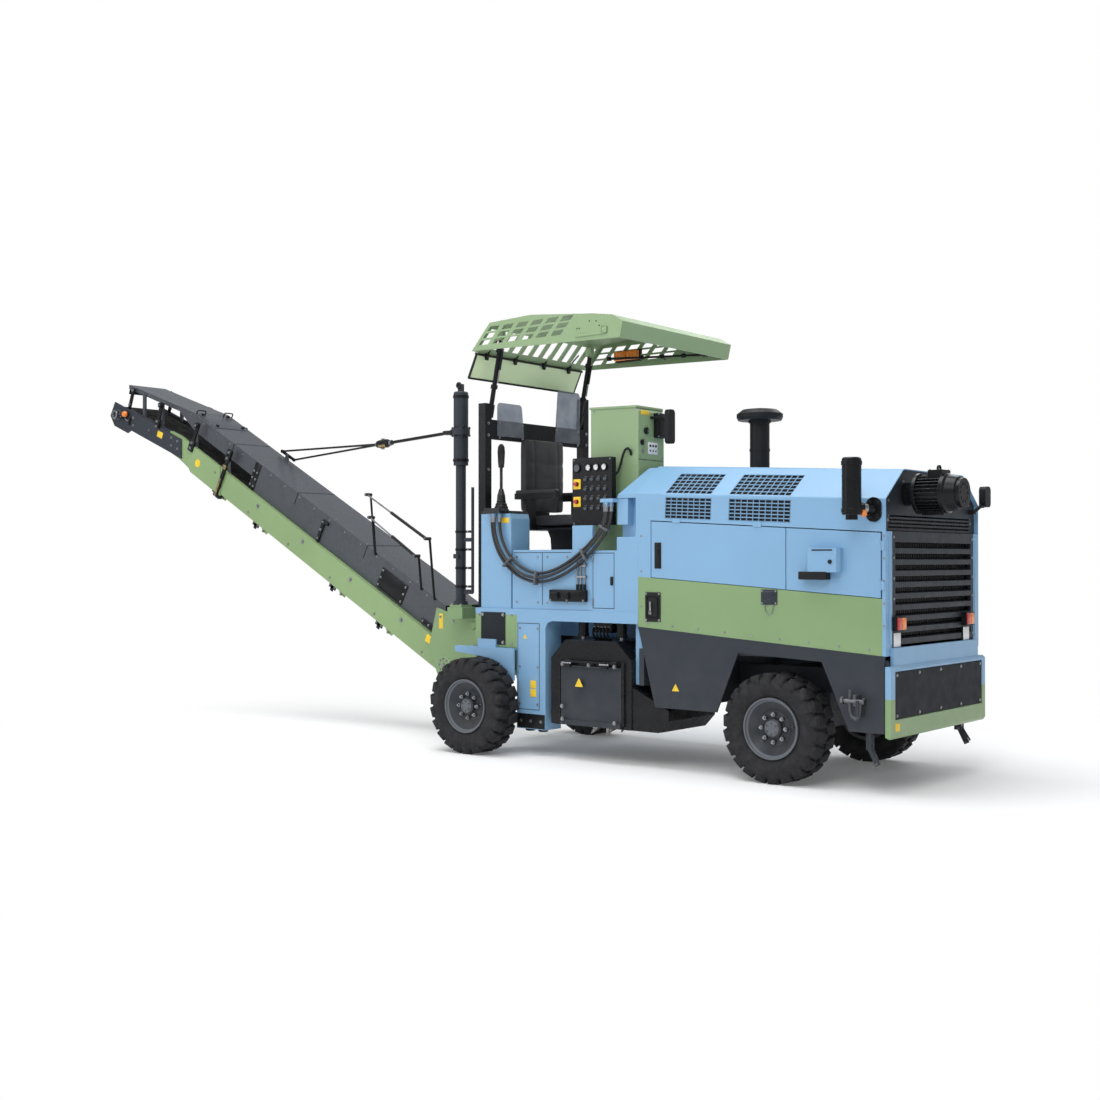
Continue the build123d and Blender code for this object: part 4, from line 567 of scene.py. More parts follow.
def make_tyre(name):
    """A block-lug industrial tyre that stands for the plain CAD ring."""
    low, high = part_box(f"tyre_{name}")
    centre = (low + high) / 2
    wheel_r = (high.z - low.z) / 2
    half_w = (high.y - low.y) / 2
    bead = half_w * 0.79
    bm = bmesh.new()
    # half of the carcass: (distance from the middle, radius), from the tread down to the bead
    half = [(0.0, wheel_r - 0.016), (half_w * 0.5, wheel_r - 0.017), (half_w * 0.80, wheel_r - 0.024),
            (half_w * 0.93, wheel_r - 0.046), (half_w * 0.985, wheel_r - 0.080),
            (half_w * 0.99, RIM_SEAT + 0.045), (half_w * 0.955, RIM_SEAT + 0.040),
            (half_w * 0.93, RIM_SEAT + 0.020), (bead + 0.004, RIM_SEAT + 0.012), (bead, RIM_SEAT)]
    outline = [(-along, radius) for along, radius in reversed(half[1:])] + half
    ring = [bm.verts.new((0.0, along, radius)) for along, radius in outline]
    edges = [bm.edges.new(pair) for pair in zip(ring, ring[1:] + ring[:1])]
    bmesh.ops.spin(bm, geom=ring + edges, cent=(0, 0, 0), axis=(0, 1, 0), angle=2 * pi, steps=72,
                   use_merge=True)
    for n in range(LUGS):
        for side in (-1, 1):
            add_lug(bm, wheel_r - 0.0005, half_w, side, 2 * pi * (n + (0.5 if side > 0 else 0.0)) / LUGS)
    bmesh.ops.translate(bm, vec=centre, verts=bm.verts[:])
    tyre = make_piece(f"lug_tyre_{name}", bm, f"wheel_{name}", tyre_rubber, angle=50.0)
    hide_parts(f"tyre_{name}")


def dress_rim(name, side):
    """Bright wheel nuts, the hub cap's bolts and a valve stem on a rim."""
    centre = middle_of(f"rim_{name}")
    out = Vector((0, side, 0))
    dish, hub = centre + out * 0.046, centre + out * 0.088
    nuts, bolts = bmesh.new(), bmesh.new()
    for x, z in circle(8, 0.088):
        place = dish + Vector((x, 0, z))
        add_rod(nuts, place, place + out * 0.022, 0.0145, 6)
        add_rod(nuts, place + out * 0.020, place + out * 0.036, 0.008, 10)
    add_bolts(bolts, [hub + Vector((x, 0, z)) for x, z in circle(6, 0.036, 0.5)], out, 0.006, 0.007)
    valve = dish + Vector((0.150, side * 0.010, 0.020))
    add_rod(bolts, valve, valve + out * 0.035, 0.005, 10)
    make_piece(f"wheel_nuts_{name}", nuts, f"wheel_{name}", bright_steel)
    make_piece(f"hub_bolts_{name}", bolts, f"wheel_{name}", casting)


for wheel, side in (("front_right", -1), ("front_left", 1), ("rear_right", -1), ("rear_left", 1)):
    make_tyre(wheel)
    dress_rim(wheel, side)


# ================================================================ hood details
HOOD_LOW, HOOD_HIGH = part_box("hood")
HALF_W = 0.700
NOSE_X = HOOD_HIGH.x
TAIL_X = HOOD_LOW.x
SHOULDER_Y = 0.450
# Body lines: (height at the tail, height at the nose)
LINES = {"top": (2.070, 1.976), "shoulder": (1.873, 1.785), "door_top": (1.690, 1.584),
         "band_top": (1.302, 1.180), "band_low": (0.962, 0.836)}


def line_z(line, x):
    """Height of a body line at a station."""
    tail, nose = LINES[line]
    return tail + (nose - tail) * (x - TAIL_X) / (NOSE_X - TAIL_X)


def hood_point(x, rise, side):
    """A point on the hood's slope, or on the wall below it, at a distance up from the shoulder line."""
    z = line_z("shoulder", x)
    if rise < 0:
        return Vector((x, side * HALF_W, z + rise))
    width = HALF_W - SHOULDER_Y
    height = line_z("top", x) - z
    share = rise / hypot(width, height)
    return Vector((x, side * (HALF_W - share * width), z + share * height))


VENT_PITCH = 0.045
VENT_ROWS = 6
VENT_LIP = 0.0034
VENT_DEPTH = 0.0035
# (first column, columns, lowest row over the shoulder line, row pitch, web between slots)
VENT_FIELDS = [
    (-0.812, 8, -0.152, 0.023, 0.0045),
    (-0.312, 10, -0.152, 0.023, 0.0045),
    (-0.812, 8, 0.030, 0.037, 0.0065),
    (-0.312, 10, 0.030, 0.037, 0.0065),
]


def make_vents():
    """Punched plates: rows of slots with rolled lips, over a dark sheet that paints the shade inside the
    hood.
    """
    plates, shade_sheets = bmesh.new(), bmesh.new()
    for side in (-1, 1):
        for first_x, columns, first_rise, pitch, web in VENT_FIELDS:
            mid_x = first_x + (columns - 1) * VENT_PITCH / 2
            mid_rise = first_rise + (VENT_ROWS - 1) * pitch / 2
            middle = hood_point(mid_x, mid_rise, side)
            along = (hood_point(mid_x + 0.05, mid_rise, side) - middle).normalized()
            up = (hood_point(mid_x, mid_rise + 0.005, side) - middle).normalized()
            out = along.cross(up) * -side
            across = out.cross(along)
            turn = Matrix((along, across, out)).transposed().to_4x4()
            place = Matrix.Translation(middle + out * 0.0004) @ turn
            size = (columns * VENT_PITCH + VENT_LIP, VENT_ROWS * pitch + VENT_LIP, 1.0)
            verts = bmesh.ops.create_grid(plates, x_segments=columns, y_segments=VENT_ROWS, size=0.5)["verts"]
            bmesh.ops.scale(plates, vec=size, verts=verts)
            cells = list({f for v in verts for f in v.link_faces})
            bmesh.ops.inset_individual(plates, faces=cells, thickness=web, depth=0.0)
            rims = list({v for f in cells for v in f.verts})
            bmesh.ops.translate(plates, vec=(0.0, 0.0, -VENT_DEPTH), verts=rims)
            whole = list(set(verts) | set(rims))
            bmesh.ops.delete(plates, geom=cells, context="FACES_ONLY")
            bmesh.ops.transform(plates, matrix=place, verts=whole)
            # a dark sheet behind the slots: painted shade of the hood's inside
            mat = bmesh.ops.create_grid(shade_sheets, x_segments=1, y_segments=1, size=0.5)["verts"]
            bmesh.ops.scale(shade_sheets, vec=size, verts=mat)
            bmesh.ops.transform(shade_sheets, matrix=Matrix.Translation(middle - out * 0.012) @ turn, verts=mat)
    piece = make_piece("vent_plates", plates, "chassis", blue_paint)
    thicken(piece, "sheet", 0.0015)
    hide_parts("hood_vents")
    # the dark sheet that paints the shade behind the slots
    backing = make_piece("vent_shade_sheets", shade_sheets, "chassis", skirt_rubber, "black_paint")
    thicken(backing, "mat", 0.002)


FINS = 46
FIN_PITCH = 0.026


def make_radiator():
    """The cooler behind the grille: a dark core with upright fins."""
    bm = bmesh.new()
    add_block(bm, (0.690, -0.600, 0.910), (0.715, 0.600, 1.675), 0.002)
    for n in range(FINS):
        y = -0.585 + n * FIN_PITCH
        add_block(bm, (0.714, y - 0.002, 0.915), (0.720, y + 0.002, 1.670))
    make_piece("radiator_core", bm, "chassis", black_paint)


def make_door_fittings():
    """Handles, locks, latches and screws on both sides of the engine module."""
    handles, steel, plates = bmesh.new(), bmesh.new(), bmesh.new()
    for side, word in ((-1, "right"), (1, "left")):
        face = side * HALF_W
        out = (0, side, 0)
        # the rear door's handle: a dark cup with a raised rim and a paddle
        cup = bmesh.new()
        add_block(cup, (-0.922, face - side * 0.002, 1.358), (-0.868, face + side * 0.004, 1.534), 0.002)
        add_block(cup, (-0.913, face + side * 0.002, 1.372), (-0.878, face + side * 0.008, 1.500), 0.003)
        add_block(cup, (-0.908, face + side * 0.006, 1.440), (-0.883, face + side * 0.013, 1.492), 0.003)
        add_rod(cup, (-0.895, face, 1.516), (-0.895, face + side * 0.008, 1.516), 0.008, 16)
        make_piece(f"rear_door_handle_{word}", cup, f"{word}_rear_door", black_plastic)
        # grip, lock and lip of the front door's box
        grip = bmesh.new()
        add_block(grip, (0.205, face + side * 0.002, 1.294), (0.400, face + side * 0.0625, 1.3455), 0.006)
        make_piece(f"filler_grip_{word}", grip, f"{word}_front_door", black_plastic)
        lock = bmesh.new()
        add_rod(lock, (0.425, face + side * 0.058, 1.405), (0.425, face + side * 0.066, 1.405), 0.013, 20)
        add_block(lock, (0.300, face + side * 0.058, 1.473), (0.440, face + side * 0.064, 1.481), 0.002)
        make_piece(f"filler_lock_{word}", lock, f"{word}_front_door", black_plastic)
        # latch between the doors, with its wire loop
        add_block(plates, (-0.094, face - side * 0.001, 1.131), (0.024, face + side * 0.006, 1.228), 0.003)
        for z in (1.152, 1.205):
            add_block(plates, (-0.075, face + side * 0.005, z - 0.012),
                      (0.006, face + side * 0.011, z + 0.012), 0.003)
        proud = face + side * 0.006
        add_bolts(steel, [(x, proud, z) for x in (-0.084, 0.014) for z in (1.141, 1.218)], out, 0.005, 0.004)
        loop = [(-0.066, 1.135), (-0.060, 1.085), (-0.036, 1.068), (-0.010, 1.082), (-0.004, 1.135)]
        add_bent_bar(steel, [(x, proud, z) for x, z in loop], 0.003, 8)
        # black lock with a lever in the band
        add_block(handles, (-0.998, face - side * 0.001, 0.998), (-0.872, face + side * 0.007, 1.198), 0.004)
        add_block(handles, (-0.980, proud, 1.026), (-0.890, face + side * 0.013, 1.170), 0.010, 3)
        corners = [(x, face + side * 0.007, z) for x in (-0.988, -0.882) for z in (1.009, 1.187)]
        add_bolts(steel, corners, out, 0.006, 0.005)
        add_rod(steel, (-0.945, face + side * 0.012, 1.060), (-0.945, face + side * 0.024, 1.060), 0.012, 16)
        add_block(steel, (-0.953, face + side * 0.016, 1.055), (-0.937, face + side * 0.024, 1.135), 0.004)
        # screws on the fixed tail panel and at the nose
        add_bolts(steel, [(-1.035, face, z) for z in (1.10, 1.34, 1.58)], out, 0.006, 0.004)
        add_bolts(steel, [(0.753, face, 1.02 + n * 0.135) for n in range(5)], out, 0.006, 0.004)
        # screws along the band's lower edge
        stations = [-0.985 + n * 0.205 for n in range(9)]
        add_bolts(steel, [(x, face, line_z("band_low", x) + 0.030) for x in stations], out, 0.0065, 0.004)
    make_piece("band_locks", handles, "chassis", black_plastic)
    make_piece("latch_plates", plates, "chassis", grey_paint)
    make_piece("panel_screws", steel, "chassis", bright_steel)


def add_triangle(bm, centre, side, size, thickness):
    """A flat triangular plate with rounded corners on a side wall."""
    made = bmesh.ops.create_circle(bm, cap_ends=True, segments=3, radius=size)["verts"]
    corners = bmesh.ops.bevel(bm, geom=made, offset=size * 0.16, offset_type="OFFSET", affect="VERTICES",
                              segments=3, profile=0.5, material=-1)["verts"]
    faces = list({f for v in corners for f in v.link_faces})
    grown = bmesh.ops.extrude_face_region(bm, geom=faces)["geom"]
    lifted = [v for v in grown if isinstance(v, bmesh.types.BMVert)]
    bmesh.ops.translate(bm, vec=(0, 0, thickness), verts=lifted)
    verts = list({v for f in faces for v in f.verts} | set(lifted))
    stand = Matrix.Translation(Vector(centre)) @ Matrix.Rotation(radians(-90 * side), 4, "X")
    bmesh.ops.transform(bm, matrix=stand, verts=verts)


def make_labels():
    """Blank coloured labels: plain plates where the machine carries warning and data signs."""
    yellow, plates = bmesh.new(), bmesh.new()
    for side in (-1, 1):
        add_triangle(yellow, (-0.752, side * HALF_W, 0.556), side, 0.034, 0.0016)
    bumper_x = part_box("front_bumper")[1].x
    add_block(yellow, (bumper_x - 0.001, -0.660, 0.385), (bumper_x + 0.0014, -0.600, 0.432), 0.0006)
    make_piece("body_labels", yellow, "chassis", yellow_label)
    for low_y in (-0.608, 0.430):
        add_block(plates, (NOSE_X + 0.0055, low_y, 0.888), (NOSE_X + 0.0075, low_y + 0.096, 0.973), 0.0008)
    make_piece("nose_plates", plates, "chassis", white_plate)


def make_tail_lamps():
    """Red and amber lenses in black housings, each with its screws."""
    red, amber, screws = bmesh.new(), bmesh.new(), bmesh.new()
    face_x = NOSE_X + 0.033
    for middle in (-0.560, 0.478):
        for bm, low_y in ((red, middle - 0.056), (amber, middle + 0.004)):
            add_block(bm, (face_x - 0.004, low_y, 0.992), (face_x + 0.010, low_y + 0.052, 1.065), 0.006, 3)
            ends = [(face_x + 0.010, low_y + 0.026, z) for z in (1.0, 1.057)]
            add_bolts(screws, ends, (1, 0, 0), 0.0035, 0.002)
    make_piece("lamp_red", red, "chassis", red_lens)
    make_piece("lamp_amber", amber, "chassis", amber_lens)
    make_piece("lamp_screws", screws, "chassis", bright_steel)


MUFFLER = Vector((0.615, -0.845, 1.735))
MUFFLER_PORT = Vector((0.690, -0.712, 1.720))


def make_nose_fittings():
    """Bolts of the end plate, the bumper panel and the grille, and the trim beside the grille."""
    bolts, trim = bmesh.new(), bmesh.new()
    plate_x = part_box("hood_end_plate")[1].x
    panel_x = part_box("bumper_panel")[1].x
    out = (1, 0, 0)
    add_bolt(bolts, (plate_x, 0.0, 1.93), out, 0.008, 0.006)
    panel_bolts = [(panel_x, y, z) for y in (-0.630, -0.315, 0.0, 0.315, 0.630) for z in (0.478, 0.722)]
    add_bolts(bolts, panel_bolts, out, 0.008, 0.006)
    for side in (-1, 1):
        plate_bolts = [(plate_x, side * y, z) for y, z in ((0.62, 1.66), (0.40, 1.90), (0.60, 1.78))]
        add_bolts(bolts, plate_bolts, out, 0.008, 0.006)
        grille_bolts = [(NOSE_X, side * 0.592, 0.93 + n * 0.125) for n in range(6)]
        add_bolts(bolts, grille_bolts, out, 0.007, 0.005)
        y = side * 0.640
        add_block(trim, (NOSE_X - 0.004, y - 0.014, 0.905), (NOSE_X + 0.006, y + 0.014, 1.575), 0.003)
    make_piece("nose_bolts", bolts, "chassis", bright_steel)
    make_piece("grille_uprights", trim, "chassis", blue_paint)


def make_muffler_fittings():
    """The muffler's bands, the bolts and the clamp of its elbow, and a drain cap."""
    black, clamp, cap = bmesh.new(), bmesh.new(), bmesh.new()
    for z in (1.700, 1.985):
        add_band(black, (MUFFLER.x, MUFFLER.y, z), (0, 0, 1), 0.0575, 0.0625, 0.024, 36)
    for n in range(4):
        angle = pi / 4 + n * pi / 2
        corner = MUFFLER_PORT + Vector((0.034 * cos(angle), 0.0, 0.058 * sin(angle)))
        add_bolt(black, corner, (0, -1, 0), 0.010, 0.009)
    elbow = MUFFLER_PORT - MUFFLER
    start = MUFFLER + elbow * 0.52
    add_rod(clamp, start, start + elbow * 0.16, 0.0285, 28)
    add_turned(cap, (0.668, -0.792, 1.690), (0.3, -0.6, -1.0),
               [(-0.020, 0.0), (-0.020, 0.018), (0.004, 0.020), (0.010, 0.014), (0.010, 0.0)], 24)
    make_piece("muffler_bands", black, "chassis", black_paint)
    make_piece("muffler_clamp", clamp, "chassis", bright_steel)
    make_piece("muffler_drain_cap", cap, "chassis", amber_lens)


def make_intake_fittings():
    """Ribs round the air cleaner's cap and the clamps on its neck."""
    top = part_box("air_intake")[1].z
    middle = middle_of("air_intake")
    bm = bmesh.new()
    for n in range(28):
        angle = 2 * pi * n / 28
        at = Vector((middle.x + 0.1575 * cos(angle), middle.y + 0.1575 * sin(angle), 0))
        rib = add_block(bm, (-0.003, -0.004, top - 0.066), (0.003, 0.004, top - 0.040))
        bmesh.ops.transform(bm, matrix=Matrix.Translation(at) @ Matrix.Rotation(angle, 4, "Z"), verts=rib)
    for z in (top - 0.105, top - 0.300):
        add_band(bm, (middle.x, middle.y, z), (0, 0, 1), 0.067, 0.0715, 0.018, 36)
    make_piece("intake_ribs", bm, "chassis", black_plastic)


def make_motor_fittings():
    """The air holes in the fan motor's end, the screws of its terminal cover and its lifting eye."""
    low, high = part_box("fan_motor")
    bm = bmesh.new()
    y, z = -0.360, 1.822
    for across, up in circle(10, 0.055):
        add_rod(bm, (high.x - 0.004, y + across, z + up), (high.x + 0.003, y + across, z + up), 0.010, 8)
    cover = [(low.x + dx, y + dy, z + 0.142) for dx in (0.180, 0.252) for dy in (-0.052, 0.052)]
    add_bolts(bm, cover, (0, 0, 1), 0.005, 0.004)
    add_turned(bm, (low.x + 0.216, y, z + 0.150), (1, 0, 0),
               [(-0.006, 0.016), (0.006, 0.016), (0.006, 0.024), (-0.006, 0.024), (-0.006, 0.016)], 20)
    make_piece("motor_screws", bm, "chassis", black_paint)


make_vents()
make_radiator()
make_door_fittings()
make_labels()
make_tail_lamps()
make_nose_fittings()
make_muffler_fittings()
make_intake_fittings()
make_motor_fittings()


# ================================================================ operator's stand
PANEL_FACE = -0.645
CABINET_FACE = -1.200
STAND_WALL = -0.690
SEAM = 0.004
SEAT_Y = -0.060


def make_gauges():
    """Panel face: round gauges with pale dials, guarded stop buttons on yellow, and rows of knobs."""
    rims, dials, yellow, red, knobs, marks = (bmesh.new() for _ in range(6))
    face = PANEL_FACE
    half_mark = Vector((0.0012, 0.0006, 0.0012))
    z = 2.070
    for x, radius in ((-1.633, 0.032), (-1.530, 0.026), (-1.460, 0.026), (-1.390, 0.026)):
        add_turned(rims, (x, face, z), (0, -1, 0),
                   [(0.0, radius), (0.012, radius), (0.014, radius - 0.003), (0.010, radius - 0.005),
                    (0.0, radius - 0.005)], 28)
        # the large gauge has a dark dial
        dial = marks if radius > 0.03 else dials
        add_rod(dial, (x, face + 0.001, z), (x, face - 0.008, z), radius - 0.004, 28)
        for n in range(9):
            angle = radians(-40 + n * 32.5)
            at = Vector((x + (radius - 0.009) * cos(angle), face - 0.0085, z + (radius - 0.009) * sin(angle)))
            add_block(marks, at - half_mark, at + half_mark)
        add_rod(marks, (x, face - 0.009, z), (x + radius * 0.45, face - 0.009, z + radius * 0.35), 0.0012, 6)
    for z in (1.955, 1.830):
        add_block(yellow, (-1.665, face - 0.003, z - 0.036), (-1.600, face + 0.001, z + 0.036), 0.003)
        add_rod(rims, (-1.632, face - 0.002, z), (-1.632, face - 0.014, z), 0.016, 20)
        add_turned(red, (-1.632, face - 0.010, z), (0, -1, 0),
                   [(0.0, 0.008), (0.006, 0.009), (0.009, 0.015), (0.016, 0.014), (0.019, 0.009),
                    (0.020, 0.0)], 24)
    for column in range(4):
        for row in range(4):
            x, z = -1.555 + column * 0.058, 1.985 - row * 0.068
            add_rod(knobs, (x, face + 0.001, z), (x, face - 0.012, z), 0.0115, 16)
            add_block(knobs, (x - 0.003, face - 0.020, z - 0.010),
                      (x + 0.003, face - 0.010, z + 0.010), 0.001)
            add_block(marks, (x - 0.010, face - 0.0012, z + 0.018), (x + 0.010, face + 0.0005, z + 0.023))
    corners = [(x, face, z) for x in (-1.660, -1.340) for z in (2.125, 1.675)]
    add_bolts(knobs, corners, (0, -1, 0), 0.006, 0.004)
    make_piece("gauge_rims", rims, "chassis", black_plastic)
    make_piece("gauge_dials", dials, "chassis", white_plate)
    make_piece("gauge_marks", marks, "chassis", grey_plastic)
    make_piece("stop_plates", yellow, "chassis", yellow_label)
    make_piece("stop_buttons", red, "chassis", red_lens)
    make_piece("panel_knobs", knobs, "chassis", grey_plastic)


def make_cabinet_fittings():
    """The cabinet's front face: a black relay box, key switches, a pale plate, a seam and screws."""
    face = CABINET_FACE
    dark, steel, seam, yellow, pale = (bmesh.new() for _ in range(5))
    add_block(dark, (face - 0.001, -0.318, 2.285), (face + 0.040, -0.196, 2.460), 0.006)
    add_block(dark, (face + 0.036, -0.304, 2.302), (face + 0.047, -0.210, 2.443), 0.004)
    lid = [(face + 0.040, y, z) for y in (-0.310, -0.204) for z in (2.294, 2.451)]
    add_bolts(steel, lid, (1, 0, 0), 0.005, 0.003)
    for y, z, radius in ((-0.412, 2.328, 0.024), (-0.458, 2.245, 0.020)):
        add_turned(dark, (face, y, z), (1, 0, 0),
                   [(0.0, radius), (0.014, radius), (0.017, radius - 0.004), (0.012, radius - 0.006),
                    (0.012, 0.0)], 24)
        add_block(steel, (face + 0.012, y - 0.003, z - 0.012), (face + 0.024, y + 0.003, z + 0.012), 0.001)
    add_block(pale, (face - 0.001, -0.385, 2.165), (face + 0.002, -0.270, 2.250), 0.0008)
    for y in (-0.360, -0.326, -0.292):
        for z, radius in ((2.225, 0.009), (2.190, 0.006)):
            add_rod(dark, (face + 0.001, y, z), (face + 0.006, y, z), radius, 16)
    add_rod(steel, (face, -0.445, 2.185), (face + 0.006, -0.445, 2.185), 0.014, 20)
    # joint across the face, screws at its corners and on the right wall
    add_block(seam, (face - 0.001, -0.498, 2.122), (face + 0.0014, -0.192, 2.126))
    corners = [(face, y, z) for y in (-0.480, -0.212) for z in (2.145, 2.480)]
    add_bolts(steel, corners, (1, 0, 0), 0.005, 0.004)
    wall = [(x, -0.500, z) for x in (-1.595, -1.228) for z in (2.478, 1.800)]
    add_bolts(steel, wall, (0, -1, 0), 0.006, 0.004)
    add_block(yellow, (face - 0.001, -0.470, 2.440), (face + 0.0016, -0.370, 2.470), 0.0006)
    make_piece("cabinet_controls", dark, "chassis", black_plastic)
    make_piece("cabinet_screws", steel, "chassis", bright_steel)
    make_piece("cabinet_seam", seam, "chassis", black_paint)
    make_piece("cabinet_sign", yellow, "chassis", yellow_label)
    make_piece("cabinet_plate", pale, "chassis", white_plate)
    # hooked conduit on the right wall, down to the instrument panel
    conduit = bmesh.new()
    points = [(-1.262, -0.502, 2.155), (-1.256, -0.520, 2.185), (-1.275, -0.524, 2.202),
              (-1.300, -0.524, 2.190), (-1.320, -0.524, 2.150), (-1.334, -0.528, 2.095),
              (-1.344, -0.545, 2.040), (-1.348, -0.580, 2.010)]
    add_bent_bar(conduit, points, 0.0085, 14, balls=14)
    make_piece("cabinet_conduit", conduit, "chassis", black_plastic, angle=60.0)


LEVER = Vector((-2.400, -0.590, 1.7795))


def make_lever_boot():
    """Bellows, stem and knob of the console's lever."""
    dark = bmesh.new()
    bellows = [(0.0, 0.0), (0.0, 0.060)]
    for n in range(5):
        bellows += [(0.012 + n * 0.022, 0.060 - n * 0.008), (0.023 + n * 0.022, 0.050 - n * 0.008)]
    bellows += [(0.125, 0.014), (0.125, 0.0)]
    knob = [(0.0, 0.0), (0.0, 0.013), (0.030, 0.024), (0.120, 0.0285), (0.160, 0.025), (0.180, 0.012),
            (0.182, 0.0)]
    add_turned(dark, LEVER, (0, 0, 1), bellows, 28)
    add_turned(dark, (LEVER.x, LEVER.y, 2.105), (0, 0, 1), knob, 24)
    add_rod(dark, (LEVER.x, LEVER.y, 1.90), (LEVER.x, LEVER.y, 2.12), 0.0112, 16)
    make_piece("lever_boot", dark, "chassis", skirt_rubber)


def add_seam_frame(bm, x0, x1, z0, z1, back, front):
    """Four thin strips round a door, between two planes across the machine."""
    for a0, a1, b0, b1 in ((x0, x1, z0, z0 + SEAM), (x0, x1, z1 - SEAM, z1), (x0, x0 + SEAM, z0, z1),
                           (x1 - SEAM, x1, z0, z1)):
        add_block(bm, (a0, back, b0), (a1, front, b1))


def make_stand_fittings():
    """Seams, screws, a label and the tank's small door on the wall beside the stand."""
    steel, seams, yellow, latch = (bmesh.new() for _ in range(4))
    wall, face = STAND_WALL, -HALF_W
    for x0, x1, z0, z1 in ((-2.190, -1.650, 1.468, 1.472), (-1.918, -1.914, 1.090, 1.468)):
        add_block(seams, (x0, wall - 0.0012, z0), (x1, wall + 0.001, z1))
    screws = [(x, wall, z) for x in (-2.160, -1.960, -1.870, -1.690) for z in (1.110, 1.440)]
    add_bolts(steel, screws, (0, -1, 0), 0.007, 0.005)
    add_block(yellow, (-2.305, wall - 0.0016, 1.690), (-2.235, wall + 0.001, 1.728), 0.0006)
    # the tank's small door: its line, its latch and its hinges
    add_seam_frame(seams, -1.450, -1.262, 1.078, 1.466, face - 0.0012, face + 0.001)
    add_block(latch, (-1.292, face - 0.010, 1.240), (-1.272, face + 0.001, 1.300), 0.003)
    for z in (1.120, 1.430):
        add_rod(steel, (-1.448, face - 0.004, z - 0.025), (-1.448, face - 0.004, z + 0.025), 0.006, 12)
    make_piece("wall_seams", seams, "chassis", black_paint)
    make_piece("wall_screws", steel, "chassis", bright_steel)
    make_piece("wall_label", yellow, "chassis", yellow_label)
    make_piece("tank_door_latch", latch, "chassis", black_plastic)


def make_floor_plates():
    """Ribbed rubber mat on the deck and tread plates in the steps."""
    mat, treads = bmesh.new(), bmesh.new()
    add_block(mat, (-2.500, 0.215, 1.0595), (-1.480, 0.660, 1.066), 0.002)
    add_block(mat, (-1.900, -0.440, 1.0595), (-1.480, 0.215, 1.066), 0.002)
    for n in range(19):
        x = -2.480 + n * 0.053
        add_block(mat, (x, 0.230, 1.065), (x + 0.018, 0.645, 1.069))
    for step_z in (0.560, 0.800):
        add_block(treads, (-1.785, 0.565, step_z), (-1.465, 0.698, step_z + 0.004), 0.001)
        for n in range(9):
            x = -1.770 + n * 0.034
            add_block(treads, (x, 0.575, step_z + 0.003), (x + 0.016, 0.692, step_z + 0.008), 0.001, 1)
    make_piece("deck_mat", mat, "chassis", skirt_rubber)
    make_piece("step_treads", treads, "chassis", bright_steel)


# The hoses' routes, as the CAD model has them
HOSE_ROUTES = {
    "stand_hose_upper": [(x, -0.722, z) for x, z in (
        (-2.301, 1.730), (-2.301, 1.645), (-2.262, 1.528), (-2.182, 1.425), (-2.072, 1.350), (-1.938, 1.315),
        (-1.795, 1.336), (-1.652, 1.400), (-1.520, 1.482), (-1.412, 1.575), (-1.352, 1.650), (-1.324, 1.725),
        (-1.324, 1.785))],
    "stand_hose_middle": [(x, -0.742, z) for x, z in (
        (-2.338, 1.730), (-2.338, 1.642), (-2.296, 1.515), (-2.208, 1.400), (-2.090, 1.318), (-1.942, 1.282),
        (-1.790, 1.305), (-1.640, 1.370), (-1.505, 1.455), (-1.392, 1.556), (-1.327, 1.638), (-1.297, 1.720),
        (-1.297, 1.785))],
    "stand_hose_lower": [(x, -0.724, z) for x, z in (
        (-2.375, 1.730), (-2.375, 1.640), (-2.330, 1.500), (-2.238, 1.378), (-2.105, 1.290), (-1.945, 1.250),
        (-1.785, 1.275), (-1.630, 1.340), (-1.490, 1.430), (-1.372, 1.536), (-1.302, 1.625), (-1.270, 1.715),
        (-1.270, 1.785))],
}
HOSE_DIAMETER = 0.022


def make_hose(node):
    """One hose along its route, as a round cord with closed ends."""
    curve = bpy.data.curves.new(f"{node}_curve", "CURVE")
    curve.dimensions = "3D"
    curve.bevel_depth = HOSE_DIAMETER / 2
    curve.bevel_resolution = 4
    curve.resolution_u = 8
    curve.use_fill_caps = True
    route = HOSE_ROUTES[node]
    spline = curve.splines.new("NURBS")
    spline.points.add(len(route) - 1)
    for point, place in zip(spline.points, route):
        point.co = (*place, 1.0)
    spline.order_u = 3
    spline.use_endpoint_u = True
    curve.materials.append(hose_rubber)
    hose = bpy.data.objects.new(f"{node}_cord", curve)
    scene.collection.objects.link(hose)
    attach(hose, "chassis")
    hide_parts(node)


def make_hose_fittings():
    """Swaged ferrules and hexagon nuts at each hose's ends, and the clamps that keep the three together."""
    steel = bmesh.new()
    for route in HOSE_ROUTES.values():
        for tip, beside in ((route[0], route[1]), (route[-1], route[-2])):
            tip = Vector(tip)
            inward = (Vector(beside) - tip).normalized()
            add_rod(steel, tip - inward * 0.004, tip + inward * 0.034, 0.0135, 20)
            add_rod(steel, tip - inward * 0.020, tip - inward * 0.002, 0.0168, 6)
    make_piece("hose_ferrules", steel, "chassis", bright_steel)
    clamps = bmesh.new()
    upper, lower = HOSE_ROUTES["stand_hose_upper"], HOSE_ROUTES["stand_hose_lower"]
    for n in (3, 5, 8, 10):
        middle = sum((Vector(route[n]) for route in HOSE_ROUTES.values()), Vector()) / 3
        along = (Vector(upper[n + 1]) - Vector(upper[n - 1])).normalized()
        span = Vector(upper[n]) - Vector(lower[n])
        reach = span.length / 2 + 0.014
        turn = Matrix((along, Vector((0, 1, 0)), span.normalized())).transposed().to_4x4()
        made = add_block(clamps, (-0.009, -0.024, -reach), (0.009, 0.024, reach), 0.006, 3)
        bmesh.ops.transform(clamps, matrix=Matrix.Translation(middle) @ turn, verts=made)
    make_piece("hose_clamps", clamps, "chassis", grey_plastic)


